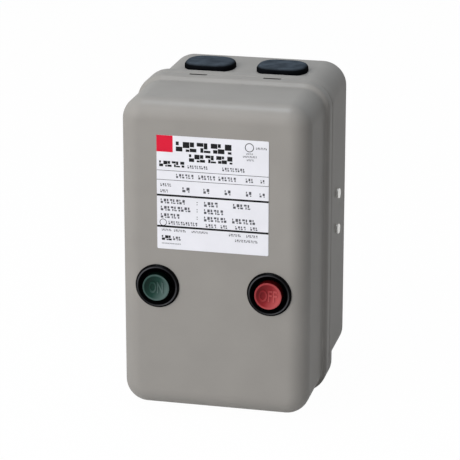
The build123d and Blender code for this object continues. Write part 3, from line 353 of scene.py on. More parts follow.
def stadium(x, z, span, depth, slot_length, slot_width, steps=12):
    """A closed cutter with round ends that runs along Z from span[0] to span[1]."""
    half, radius = (slot_length - slot_width) / 2, slot_width / 2
    right = arc((x + half, -depth), radius, -90, 90, steps)
    left = arc((x - half, -depth), radius, 90, 270, steps)
    outline = np.concatenate([right, left])
    rings = np.array([np.insert(outline, 2, z + height, axis=1) for height in span])
    points, faces = surface(rings, ring=True)
    count = len(outline)
    faces += [list(range(count))[::-1], list(range(count, 2 * count))]
    return points, faces


def rod(centre, out, radius, reach, segments=48):
    """A closed round bar through centre, reach each way along out."""
    profile = [(0, -reach), (radius, -reach), (radius, reach), (0, reach)]
    return turned(profile, centre, out, segments)


def coil(centre, out, radius, wire, reach, turns, sides=8, steps=28):
    """A helical spring: a round wire carried along a helix, with closed, flat end turns.

    The middle of the wire is centre + radius * (cos t, sin t) across the axis and
    climbs along out. The first and last turns climb by one wire only, and the turns
    between share what is left of the reach evenly.
    """
    out, across, up = square_to(out)
    share = np.linspace(0.0, turns, int(turns * steps) + 1)
    climb = np.interp(share, [0, 1, turns - 1, turns], [0, wire, reach - 2 * wire, reach - wire])
    away = spokes(2.0 * pi * share, across, up)
    middle = np.array(centre) + radius * away + np.outer(climb + wire / 2, out)
    around = full_turn(sides)[:, None]
    points = middle[:, None] + (wire / 2) * (np.cos(around) * away[:, None] + np.sin(around) * out)
    tips = np.repeat(middle[[0, -1], None], sides, axis=1)
    return surface(np.concatenate([tips[:1], points, tips[1:]]), ring=True)


def screw_head(centre, out, radius, height, style, segments=48, rings=16):
    """A pan head with a cross recess, on a polar grid.

    The height above the seat falls away near the edge as a quarter round, and is cut
    down where the smaller of the distances to the two arms is under half the recess.
    """
    flank, crown = 0.55, 0.72    # upright share of the height, flat share of the radius
    slope, slope_end = 0.04, 0.05    # the recess's walls, as shares of the radius
    out, across, up = square_to(out)
    share = np.concatenate([np.linspace(0.0, 0.8, rings), np.sin(np.linspace(0.93, pi / 2, 8))])
    turn = full_turn(segments)
    side, rise = share[:, None] * np.cos(turn), share[:, None] * np.sin(turn)
    falling = np.clip((share - crown) / (1.0 - crown), 0, 1)
    rounding = np.sqrt(np.clip(1.0 - falling**2, 0, 1))
    near_arm = np.minimum(np.abs(side), np.abs(rise))
    edge = np.clip((style.recess_width / 2 - near_arm) / slope, 0, 1)
    inside = np.clip((style.recess_reach - share) / slope_end, 0, 1)[:, None]
    dome = (flank + (1.0 - flank) * rounding)[:, None] - style.recess_depth * edge * inside
    points = (
        np.array(centre)
        + radius * (side[..., None] * across + rise[..., None] * up)
        + (height * dome)[..., None] * out
    )
    foot = points[-1:] - height * flank * out
    hub = np.broadcast_to(np.array(centre), foot.shape)
    return surface(np.concatenate([points, foot, hub]), ring=True)


# ---- pieces ----
def add_object(name, data):
    """A new object in the scene."""
    thing = bpy.data.objects.new(name, data)
    bpy.context.scene.collection.objects.link(thing)
    return thing


def mesh_of(name, shape):
    """A mesh of a (points, faces) pair."""
    mesh = bpy.data.meshes.new(name)
    mesh.from_pydata(np.asarray(shape[0], float).tolist(), [], shape[1])
    return mesh


def solid_of(thing):
    """A new mesh of what an object comes to, with its modifiers applied."""
    bpy.context.view_layer.update()
    depsgraph = bpy.context.evaluated_depsgraph_get()
    return bpy.data.meshes.new_from_object(thing.evaluated_get(depsgraph))


def points_of(mesh):
    """The points of a mesh, one to a row."""
    points = np.zeros(3 * len(mesh.vertices), np.float32)
    mesh.vertices.foreach_get("co", points)
    return points.reshape(-1, 3)


def make_piece(name, shape, body, slot, replaces=(), sharp=35.0, cutter=None, finish=None):
    """Makes one object from a (points, faces) pair: closes its seams, turns its faces
    outward, cuts a closed shape out of it where one is given, and seats it. Its finish
    is that of its slot unless another is named."""
    mesh = mesh_of(name, shape)
    close_seams(mesh)
    mesh.materials.append(material_of(finish or slot))
    piece = add_object(name, mesh)
    if cutter:
        cut(piece, cutter)
    return finish_piece(piece, body, replaces, sharp)


def close_seams(mesh):
    """Merges doubled points, drops faces with no area and turns all faces outward."""
    work = bmesh.new()
    work.from_mesh(mesh)
    bmesh.ops.remove_doubles(work, verts=work.verts, dist=1e-7)
    bmesh.ops.dissolve_degenerate(work, edges=work.edges, dist=1e-8)
    bmesh.ops.recalc_face_normals(work, faces=work.faces)
    work.to_mesh(mesh)
    work.free()


def finish_piece(piece, body, replaces=(), sharp=35.0):
    """Smooths all but a piece's sharp edges and seats it on its body."""
    piece.data.shade_smooth()
    piece.data.set_sharp_from_angle(angle=radians(sharp))
    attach(piece, body)
    if replaces:
        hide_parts(*replaces)
    return piece


def set_painted_light(piece, painted_light_of):
    """Gives each point of a piece its painted light, from 0 for painted shade to 1 for painted
    highlight, as a formula of its place.
    """
    wear = painted_light_of(*points_of(piece.data).T)
    attribute = piece.data.attributes.new("wear", "FLOAT", "POINT")
    attribute.data.foreach_set("value", np.clip(wear, 0.0, 1.0).astype(np.float32))


def cut(piece, cutter_shape):
    """Cuts a closed shape out of a piece, with the cut's walls painted near black as
    painted shade, and keeps the result as the piece's mesh."""
    mesh = mesh_of(piece.name + "_cut", cutter_shape)
    close_seams(mesh)
    mesh.materials.append(material_of("cut_edge"))
    modifier = piece.modifiers.new("cut", "BOOLEAN")
    modifier.operation = "DIFFERENCE"
    modifier.solver = "EXACT"
    modifier.material_mode = "TRANSFER"
    modifier.object = add_object(mesh.name, mesh)
    result = solid_of(piece)
    bpy.data.objects.remove(modifier.object)
    piece.modifiers.clear()
    piece.data = result


# ---- finishes ----
def feed(tree, socket, value):
    """Gives an input a plain value, or joins it to another node's output."""
    if isinstance(value, bpy.types.NodeSocket):
        tree.links.new(value, socket)
    elif socket.type == "RGBA":
        socket.default_value = (*value, 1.0)
    else:
        socket.default_value = value


def add_node(tree, kind, inputs=(), **settings):
    """A new node with its settings, and what its inputs, by name or number, are fed."""
    node = tree.nodes.new(kind)
    for name, value in settings.items():
        setattr(node, name, value)
    for key, value in dict(inputs).items():
        feed(tree, node.inputs[key], value)
    return node


class Finish:
    """A material under construction: its shader, and a chain of nodes on Object
    coordinates that vary its colour, roughness and relief."""

    def __init__(self, name, colour, roughness, metallic=0.0):
        self.material = bpy.data.materials.new(name)
        self.material.use_nodes = True
        self.tree = self.material.node_tree
        self.colour = self.base = tuple(colour)
        self.give({"Base Color": colour, "Roughness": roughness, "Metallic": metallic})
        self.place = self.add("ShaderNodeTexCoord").outputs["Object"]
        self.normal = None

    def add(self, kind, inputs=(), **settings):
        """A new node of this material."""
        return add_node(self.tree, kind, inputs, **settings)

    def give(self, inputs):
        """Feeds the shader's own inputs."""
        for name, value in inputs.items():
            feed(self.tree, self.tree.nodes["Principled BSDF"].inputs[name], value)
        return self

    def stretched(self, scale):
        """Object coordinates scaled along each axis, for a grain with a direction."""
        inputs = {"Vector": self.place, "Scale": scale}
        return self.add("ShaderNodeMapping", inputs).outputs["Vector"]

    def noise(self, scale, detail=3.0, where=None):
        """A noise value from 0 to 1, with scale features to the metre."""
        inputs = {"Vector": where or self.place, "Scale": scale, "Detail": detail}
        return self.add("ShaderNodeTexNoise", inputs).outputs["Fac"]

    def bands(self, scale, direction):
        """Even bands across one axis, scale of them to about 0.3 metre."""
        inputs = {"Vector": self.place, "Scale": scale}
        return self.add("ShaderNodeTexWave", inputs, bands_direction=direction).outputs["Fac"]

    def wear(self):
        """The painted light, from painted shade to painted highlight, that a piece's own points hold.
        """
        return self.add("ShaderNodeAttribute", attribute_name="wear").outputs["Fac"]

    def ranged(self, value, low=0.0, high=1.0, from_low=0.3, from_high=0.7):
        """A value's middle range spread from low to high."""
        inputs = enumerate((value, from_low, from_high, low, high))
        return self.add("ShaderNodeMapRange", inputs).outputs["Result"]

    def outward(self, axis, low, high):
        """A value that goes from 0 to 1 between two distances from the middle along an
        axis, given as X, Y or Z."""
        parts = self.add("ShaderNodeSeparateXYZ", {"Vector": self.place})
        away = self.add("ShaderNodeMath", {0: parts.outputs[axis]}, operation="ABSOLUTE")
        return self.ranged(away.outputs["Value"], 0.0, 1.0, low, high)

    def blend(self, below, above, value):
        """Base colour that goes from one shade to another with a value."""
        mix = self.add("ShaderNodeMix", {"Factor": value}, data_type="RGBA")
        ends = [socket for socket in mix.inputs if socket.type == "RGBA"]
        feed(self.tree, ends[0], below)
        feed(self.tree, ends[1], above)
        self.base = [socket for socket in mix.outputs if socket.type == "RGBA"][0]
        return self.give({"Base Color": self.base})

    def fade_to(self, shade, value):
        """Fades the base colour made so far to another where a value is one."""
        return self.blend(self.base, shade, value)

    def mottle(self, value, dark, light):
        """Base colour that runs from a darker to a lighter shade with a value."""
        below, above = [[share * part for part in self.colour] for share in (dark, light)]
        return self.blend(below, above, value)

    def clouded(self, scale, detail, dark, light):
        """Base colour in clouds of a darker and a lighter shade."""
        return self.mottle(self.ranged(self.noise(scale, detail)), dark, light)

    def sheen_of(self, value, low, high):
        """Roughness that runs from low to high with a value."""
        return self.give({"Roughness": self.ranged(value, low, high)})

    def relief(self, value, strength, height):
        """A bump whose full height is in metres, over any made before it."""
        inputs = {"Height": value, "Strength": strength, "Distance": height}
        if self.normal:
            inputs["Normal"] = self.normal
        self.normal = self.add("ShaderNodeBump", inputs).outputs["Normal"]
        return self.give({"Normal": self.normal})

    def grain(self, scale, detail, strength, height):
        """Noise in relief."""
        return self.relief(self.noise(scale, detail), strength, height)

    def coat(self, weight, roughness):
        """Carries the shine on a thin clear coat instead of in the body."""
        if self.normal:
            self.give({"Coat Normal": self.normal})
        self.give({"Specular IOR Level": 0.0, "Coat Weight": weight})
        return self.give({"Coat Roughness": roughness})


def enamel():
    """Grey stoving enamel: fine orange peel, faint clouding and a soft gloss."""
    finish = Finish("grey_enamel", bpy.context.scene.starter_shell.paint, 0.48)
    finish.clouded(38.0, 4.0, 0.965, 1.03)
    finish.grain(900.0, 2.0, 0.16, 0.00010)
    return finish.grain(24.0, 1.0, 0.12, 0.0012).coat(0.29, 0.33)


def moulded(name, shade, roughness):
    """Moulded plastic: a fine eroded grain and a slight change of shade."""
    finish = Finish(name, shade, roughness).clouded(60.0, 3.0, 0.92, 1.06)
    finish.sheen_of(finish.noise(300.0, 2.0), roughness - 0.05, roughness + 0.07)
    return finish.grain(1400.0, 2.0, 0.10, 0.00008)


def moulded_rubber():
    """Rubber: black and dull with a pebbled skin, and blue-grey on its flat ends, partly dust and
    partly a painted reflection of the sky.
    """
    shade = bpy.context.scene.starter_hardware.rubber
    finish = Finish("plug_rubber", shade, 0.70).clouded(120.0, 5.0, 0.7, 1.3)
    # Painted: the flat ends' blue-grey is partly dust and partly a painted reflection of the sky
    # above.
    finish.fade_to((0.068, 0.083, 0.101), finish.outward("Z", 0.1074, 0.1087))
    finish.fade_to(shade, finish.ranged(finish.noise(140.0, 4.0), 0.0, 0.4, 0.35, 0.65))
    return finish.grain(1500.0, 3.0, 0.2, 0.00012).coat(0.03, 0.55)


def plated(name, shade, roughness):
    """Plated steel: brushed along X, with a faint cloud in the plating."""
    finish = Finish(name, shade, roughness, 1.0)
    grain = finish.noise(500.0, 3.0, finish.stretched((0.15, 2.0, 2.0)))
    finish.clouded(90.0, 4.0, 0.88, 1.06)
    finish.sheen_of(grain, roughness - 0.07, roughness + 0.09)
    return finish.relief(grain, 0.10, 0.00005)


def phosphated():
    """Phosphated spring steel: black and dry."""
    finish = Finish("black_phosphate", (0.009, 0.009, 0.010), 0.8)
    return finish.clouded(260.0, 4.0, 0.7, 1.4).coat(0.05, 0.6)


def laminated():
    """Stacked core plates: thin dark joints every half millimetre across X."""
    finish = Finish("core_plates", (0.34, 0.34, 0.36), 0.42, 1.0)
    joints = finish.bands(314.0, "X")
    finish.mottle(finish.ranged(joints, 0.0, 1.0, 0.0, 0.35), 0.35, 1.05)
    return finish.relief(joints, 0.35, 0.00006).grain(900.0, 3.0, 0.12, 0.00004)


def wound():
    """Enamelled wire: close turns that show as even ridges across the winding."""
    finish = Finish("winding_wire", (0.30, 0.075, 0.022), 0.26)
    turns = finish.bands(520.0, "Y")
    finish.mottle(finish.ranged(turns, 0.0, 1.0, 0.0, 1.0), 0.45, 1.25)
    return finish.relief(turns, 0.8, 0.00012).give({"Coat Weight": 0.5, "Coat Roughness": 0.15})


def film(name, setting, roughness):
    """Printed film: flat and even, with a trace of fibre, in a colour of the settings."""
    finish = Finish(name, getattr(bpy.context.scene.starter_plate, setting), roughness)
    finish.clouded(70.0, 3.0, 0.97, 1.02).grain(1100.0, 2.0, 0.05, 0.00004)
    return finish.give({"Specular IOR Level": 0.2})


def bezel_plastic():
    """Deep black moulding, with a painted grey highlight on its raised ring."""
    finish = Finish("black_moulding", (0.0012, 0.0012, 0.0015), 0.5)
    # Painted highlight: grey on the ring's crest, where the lamp catches it.
    finish.fade_to((0.075, 0.075, 0.080), finish.wear())
    return finish.grain(1400.0, 2.0, 0.08, 0.00006).coat(0.07, 0.28)


def cap_plastic(name, shaded_skirt, face, highlight_tone):
    """A glossy, slightly cloudy cap: painted shade on its sides, its own colour in the face, and a
    painted highlight towards the lower right. The painted light runs from the first shade over the
    second to the third."""
    finish = Finish(name, shaded_skirt, 0.5)
    wear = finish.wear()
    finish.fade_to(face, finish.ranged(wear, 0.0, 1.0, 0.0, 0.5))
    finish.fade_to(highlight_tone, finish.ranged(wear, 0.0, 1.0, 0.5, 1.0))
    return finish.grain(620.0, 3.0, 0.10, 0.00012).coat(0.18, 0.24)


# How each finish is made, by its name, which for most is the record's material slot.
FINISHES = {
    "rubber": (moulded_rubber,),
    "zinc_steel": (plated, "zinc_plate", (0.66, 0.66, 0.64), 0.34),
    "spring_steel": (plated, "spring_wire", (0.50, 0.50, 0.52), 0.30),
    "phosphated_steel": (phosphated,),
    "earth_brass": (plated, "turned_brass", (0.62, 0.43, 0.16), 0.30),
    "contact_brass": (plated, "contact_strip", (0.66, 0.50, 0.24), 0.33),
    "copper": (plated, "bare_copper", (0.68, 0.30, 0.15), 0.32),
    "core_steel": (laminated,),
    "enamelled_wire": (wound,),
    "bezel_plastic": (bezel_plastic,),
    "black_plastic": (moulded, "black_thermoset", (0.022, 0.022, 0.024), 0.46),
    "grey_plastic": (moulded, "grey_moulding", (0.23, 0.24, 0.24), 0.44),
    "cream_plastic": (moulded, "cream_moulding", (0.58, 0.53, 0.40), 0.42),
    "white_plastic": (moulded, "white_moulding", (0.74, 0.74, 0.71), 0.38),
    "blue_plastic": (moulded, "blue_moulding", (0.03, 0.09, 0.30), 0.36),
    "red_plastic": (moulded, "red_moulding", (0.42, 0.03, 0.03), 0.36),
    # Each cap's three tones: painted shade for its sides, its face's own colour, and a painted
    # highlight.
    "on_cap": (
        cap_plastic, "green_cap", (0.0015, 0.006, 0.004), (0.010, 0.040, 0.030), (0.11, 0.16, 0.15)
    ),
    "off_cap": (
        cap_plastic, "red_cap", (0.060, 0.003, 0.004), (0.24, 0.018, 0.022), (0.50, 0.10, 0.10)
    ),
    # Painted shade: near black for the walls of cuts, such as the rim's slots.
    "cut_edge": (moulded, "cut_edge", (0.035, 0.034, 0.033), 0.6),
    "box_paint": (enamel,),
    "label": (film, "white_film", "paper", 0.42),
    "ink": (film, "print_black", "ink", 0.5),
    "pale_ink": (film, "print_grey", "pale_ink", 0.5),
    "badge": (film, "print_red", "badge", 0.4),
}
MADE = {}


def material_of(slot):
    """The finish of a material slot, made once."""
    if slot not in MADE:
        make, *values = FINISHES[slot]
        MADE[slot] = make(*values).material
    return MADE[slot]


# ---- places ----
def shell_sections(shell):
    """The cover's wall as two lists of (offset, depth): outside from the face to the
    rim's rear edge, and inside back again."""
    flat = 0.3 * MM    # the face's edge, where the wall meets the flat panel
    face, rear = -COVER_LOW.y, -COVER_HIGH.y
    rim_front = rear + shell.rim_length
    groove_front = rear + shell.groove_inset + shell.groove_width
    step, sheet, rounding = shell.rim_step, shell.sheet, shell.face_round
    bend = (shell.step_run**2 + step**2) / (4 * step)
    sweep = np.degrees(np.arcsin(shell.step_run / 2 / bend))
    share = np.linspace(0.0, 1.0, 13)
    dip = shell.groove_depth * (0.5 - 0.5 * np.cos(2 * pi * share))

    def wall(inward):
        """One face of the wall, moved inward by a thickness."""
        return np.concatenate([
            [(-rounding - flat, face - inward)],
            arc((-rounding, face - rounding), rounding - inward, 90, 0, 20),
            arc((bend, rim_front + shell.step_run), bend + inward, 180, 180 + sweep, 10),
            arc((step - bend, rim_front), bend - inward, sweep, 0, 10),
            stacked(step - inward - dip, groove_front - shell.groove_width * share),
        ])

    edge = arc((step - shell.edge_round, rear + shell.edge_round), shell.edge_round, 0, -90, 6)
    return np.concatenate([wall(0.0), edge, [(step - sheet, rear)]]), wall(sheet)[::-1]


def base_sections(shell):
    """The base's wall as a list of (offset, depth), from its back outside, round the
    out-turned lip and back down inside, with the flat rings that meet the two panels."""
    flat = 4.0 * MM
    sheet, rounding, reach = shell.sheet, shell.back_round, -BASE_LOW.y
    out = shell.base_inset - sheet - shell.lip_gap
    return np.concatenate([
        [(-flat, 0.0)],
        arc((-rounding, rounding), rounding, -90, 0, 8),
        [(0.0, reach - sheet), (out, reach - sheet)],
        arc((out - sheet / 3, reach - sheet / 3), sheet / 3, 0, 90, 5),
        [(-sheet, reach), (-sheet, sheet), (-flat, sheet)],
    ])


def round_box(node):
    """A round node's middle as x, z, then its radius, its front and its rear along Y."""
    low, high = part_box(node)
    return (low.x + high.x) / 2, (low.z + high.z) / 2, (high.x - low.x) / 2, low.y, high.y


def solid_boxes(node):
    """The box of each separate solid of a node, as (low, high, middle) arrays.

    Points that share a face belong to one solid, which is found by spreading the
    lowest point number over the faces until nothing changes.
    """
    mesh = NODES[node].data
    points = points_of(mesh).astype(float)
    places = np.round(points / 1e-6).astype(np.int64)
    keys = np.unique(places, axis=0, return_inverse=True)[1].reshape(-1)
    loops = np.zeros(len(mesh.loops), np.int32)
    mesh.loops.foreach_get("vertex_index", loops)
    faces = keys[loops].reshape(-1, 3)
    label, spread = None, np.arange(keys.max() + 1)
    while label is None or (spread != label).any():
        label = spread
        spread = label.copy()
        np.minimum.at(spread, faces.ravel(), np.repeat(label[faces].min(axis=1), 3))
    owner = label[keys]
    groups = [points[owner == one] for one in np.unique(owner)]
    boxes = [(group.min(axis=0), group.max(axis=0)) for group in groups]
    return [(low, high, (low + high) / 2) for low, high in boxes]


def plug_places(wall):
    """Each cable plug as (width, length, stand, foot's middle, side of the box)."""
    plugs = []
    for low, high, middle in solid_boxes("cable_plugs"):
        side = 1 if high[2] > 0 else -1
        stand = max(high[2], -low[2]) - wall
        foot = (middle[0], middle[1], side * wall)
        plugs.append((*(high - low)[:2], stand, foot, side))
    return plugs


# ---- operators ----
class STARTER_OT_cover(bpy.types.Operator):
    """Makes the pressed cover with its stepped rim, groove, slots and button holes"""

    bl_idname = "starter.cover"
    bl_label = "Front cover"

    def execute(self, context):
        shell = context.scene.starter_shell
        width, height = [2 * (half - shell.rim_step) for half in (COVER_HIGH.x, COVER_HIGH.z)]
        outside, inside = shell_sections(shell)
        wall = pressed(width, height, shell.corner, np.concatenate([outside, inside]))
        bezels = [round_box(node) for node in ("on_bezel", "off_bezel")]
        holes = [(x, z, shell.panel_hole) for x, z, *_ in bezels]
        outline = rounded_outline(width, height, shell.corner, outside[0][0])
        sheet = pierced(outline, outside[0][1], inside[-1][1], holes)
        shape = joined(surface(wall, ring=True), sheet)
        depth = -COVER_HIGH.y + shell.slot_inset
        size = (shell.slot_length, shell.slot_width)
        outer, inner = 4 * MM, 8 * MM    # how far a cutter runs past the rim, each way
        slots = [
            stadium(side * shell.slot_spread / 2, low, (0.0, outer + inner), depth, *size)
            for side in (-1, 1)
            for low in (COVER_LOW.z - outer, COVER_HIGH.z - inner)
        ]
        cutter = joined(*slots)
        make_piece("cover_shell", shape, "cover", "box_paint", ["front_cover"], 30, cutter)
        return {"FINISHED"}


class STARTER_OT_base(bpy.types.Operator):
    """Makes the base box with its out-turned lip and its holes"""

    bl_idname = "starter.base"
    bl_label = "Base box"

    def execute(self, context):
        shell, style = context.scene.starter_shell, context.scene.starter_hardware
        width, height = [2 * (half - shell.base_inset) for half in (COVER_HIGH.x, COVER_HIGH.z)]
        section = base_sections(shell)
        wall = pressed(width, height, shell.base_corner, section)
        outline = rounded_outline(width, height, shell.base_corner, section[0][0])
        across, up = shell.fixing_spread_x / 2, shell.fixing_spread_z / 2
        holes = [(x * across, z * up, shell.fixing_hole) for x in (-1, 1) for z in (-1, 1)]
        shape = joined(surface(wall, ring=True), pierced(outline, 0.0, shell.sheet, holes))
        inset, reach = style.plug_overhang - style.plug_gap, 6 * MM
        section = [(-inset, -reach), (-inset, reach)]
        cutter = joined(*[
            level_rings(across, along, style.plug_corner, section, foot, side)
            for across, along, _, foot, side in plug_places(height / 2)
        ])
        make_piece("base_shell", shape, "base", "box_paint", ["base_box"], 30, cutter)
        return {"FINISHED"}


class STARTER_OT_buttons(bpy.types.Operator):
    """Makes the bezels, the dished caps and their raised ON and OFF"""

    bl_idname = "starter.buttons"
    bl_label = "Push buttons"

    def execute(self, context):
        style = context.scene.starter_buttons
        for name, width in (("on", style.on_width), ("off", style.off_width)):
            self.bezel(name, style)
            self.cap(name, style)
            self.letters(name, style, width)
        return {"FINISHED"}

    def bezel(self, name, style):
        """A turned bezel: a narrow raised ring round a funnel and a well, and a barrel
        behind the cover. The ring's section is a half round on sloping flanks."""
        solid = f"{name}_bezel"
        x, z, rim, _, back = round_box(solid)
        face, top, bead, well = -COVER_LOW.y, style.crest_height, style.crest_round, style.well_radius
        barrel_end = -back - face
        bore, bore_end = well - style.bezel_wall, barrel_end + style.bezel_floor
        edge_low, edge_high, mouth, funnel_end = [part * top for part in (0.25, 0.35, 0.1, -0.2)]
        profile = np.concatenate([
            [(rim, 0.0), (rim, edge_low), (rim - style.bezel_edge, edge_high)],
            arc((style.crest_radius, top - bead), bead, 15, 165, 12),
            [(style.mouth_radius, mouth), (well, funnel_end), (well, -style.well_depth)],
            [(bore, -style.well_depth), (bore, bore_end), (style.stem_hole, bore_end)],
            [(style.stem_hole, barrel_end), (style.barrel_radius, barrel_end)],
            [(style.barrel_radius, style.seal_height), (style.seal_radius, style.seal_height)],
            [(style.seal_radius, 0.0), (rim, 0.0)],
        ])
        shape = turned(profile, (x, -face, z), FRONT, 128)
        piece = make_piece(f"{name}_bezel_ring", shape, "cover", "bezel_plastic", [solid])
        # The ring's painted highlight.
        set_painted_light(piece, lambda across, depth, rise: self.ring_wear(
            across - x, -face - depth, rise - z, style))

    def ring_wear(self, across, out, rise, style):
        """Painted highlight of the raised ring: full on its crest at the upper left and the lower
        right, where |rise - across| is greatest and the lamp lights the ring's flanks, and least half
        way between those."""
        highlight_height, least = 0.6 * style.crest_round, 0.15
        crest = 1.0 - (style.crest_height - out) / highlight_height
        lean = np.abs(rise - across) / (np.sqrt(2.0) * np.hypot(across, rise))
        return np.clip(crest, 0.0, 1.0) * (least + (1.0 - least) * lean**2)

    def cap(self, name, style):
        """A turned cap: a dished face inside a rounded edge, on its stem and collar.

        The dish's height is that of its edge less dish * (1 - (r / R) squared).
        """
        solid = f"{name}_button"
        x, z, radius, top, end = round_box(solid)
        half, tail, back = style.rim_width / 2, top - end, -style.cap_length
        stem, collar = style.stem_radius, style.collar_radius
        front = -style.collar_back
        rear = front - style.collar_width
        share = np.linspace(0.0, 1.0, 14)
        profile = np.concatenate([
            stacked((radius - style.rim_width) * share, -style.dish * (1 - share**2)),
            arc((radius - half, -half), half, 125, 0, 11),
            [(radius, back), (stem, back), (stem, front), (collar, front)],
            [(collar, rear), (stem, rear), (stem, tail), (0.0, tail)],
        ])
        shape = turned(profile, (x, top, z), FRONT, 128)
        piece = make_piece(f"{name}_cap", shape, solid, f"{name}_cap", [solid])
        # The cap's painted highlight and painted shade.
        set_painted_light(piece, lambda across, depth, rise: self.face_painted_light(
            across - x, depth - top, rise - z, radius, style))

    def face_painted_light(self, across, depth, rise, radius, style):
        """Painted light of a cap: none on its sides, which keep their painted shade, a half in the
        middle of the dish, a painted highlight at the lower right and painted shade at the left, and
        lighter again on the raised edge."""
        dish_middle, edge_middle, edge_lean = 0.5, 0.74, 0.3
        to_right, downward = 1.1, 0.5
        lean = (to_right * across - downward * rise) / radius
        edge = np.hypot(across, rise) > radius - style.rim_width - 1e-6
        dish = dish_middle + style.face_painted_light * lean
        raised = edge_middle + edge_lean * style.face_painted_light * lean
        return np.where(edge, raised * (depth < style.rim_width / 2), dish)

    def letters(self, name, style, width):
        """Raised letters that follow the dish of the cap.

        The text's solid is rebuilt as small cells of one size, so that a point at height
        h of it can move to the dish's own height there plus h times the relief.
        """
        x, z, full, top, _ = round_box(f"{name}_button")
        radius = full - style.rim_width
        words = bpy.data.curves.new(f"{name}_word", "FONT")
        words.body = name.upper()
        words.offset = style.letter_weight
        words.extrude = 0.1
        text = add_object(f"{name}_word", words)
        mesh = solid_of(text)
        bpy.data.objects.remove(text)
        self.split(mesh, 1.0 / style.letter_mesh)
        flat = points_of(mesh).astype(float)
        flat = (flat - flat.min(axis=0)) / np.ptp(flat, axis=0) - 0.5
        across, rise = flat[:, 0] * width, flat[:, 1] * style.letter_height
        hollow = style.dish * (1 - (across**2 + rise**2) / radius**2)
        lift = flat[:, 2] * 2 * style.letter_relief
        points = stacked(x + across, top + np.maximum(hollow - lift, 0.0), z + rise)
        mesh.vertices.foreach_set("co", points.astype(np.float32).ravel())
        mesh.update()
        piece = add_object(f"{name}_letters", mesh)
        mesh.materials.append(material_of(f"{name}_cap"))
        finish_piece(piece, f"{name}_button")
        # The letters' tops get a further painted highlight over the cap's painted light.
        set_painted_light(piece, lambda *place: style.letter_highlight * (lift > 0) + self.face_painted_light(
            across, 0.0, rise, full, style))

    def split(self, mesh, cell):
        """Cuts a mesh along evenly spaced upright and level planes a cell apart."""
        work = bmesh.new()
        work.from_mesh(mesh)
        bmesh.ops.remove_doubles(work, verts=work.verts, dist=1e-5)
        spots = np.array([vertex.co[:2] for vertex in work.verts])
        for axis in (0, 1):
            normal = [float(axis == 0), float(axis == 1), 0.0]
            for place in np.arange(spots[:, axis].min() + cell, spots[:, axis].max(), cell):
                everything = list(work.verts) + list(work.edges) + list(work.faces)
                at = [float(place) * part for part in normal]
                bmesh.ops.bisect_plane(work, geom=everything, plane_co=at, plane_no=normal)
        bmesh.ops.recalc_face_normals(work, faces=work.faces)
        work.to_mesh(mesh)
        work.free()


class STARTER_OT_plugs(bpy.types.Operator):
    """Makes the four rubber cable plugs"""

    bl_idname = "starter.plugs"
    bl_label = "Cable plugs"

    def execute(self, context):
        shell, style = context.scene.starter_shell, context.scene.starter_hardware
        edge, chamfer, inside = style.plug_edge, style.plug_chamfer, -shell.sheet
        neck = -style.plug_overhang
        flange, hollow = neck + style.plug_flange, neck - style.plug_wall
        end = inside - style.plug_flange_height
        plugs = []
        for width, length, stand, foot, side in plug_places(COVER_HIGH.z - shell.base_inset):
            section = np.concatenate([
                arc((-edge, stand - edge), edge, 90, 0, 12),
                [(0.0, 0.0), (neck, 0.0), (neck, inside), (flange, inside)],
                [(flange, end + chamfer), (flange - chamfer, end), (hollow, end)],
                [(hollow, stand - style.plug_roof)],
            ])
            plugs.append(level_rings(width, length, style.plug_corner, section, foot, side))
        make_piece("rubber_plugs", joined(*plugs), "base", "rubber", ["cable_plugs"])
        return {"FINISHED"}


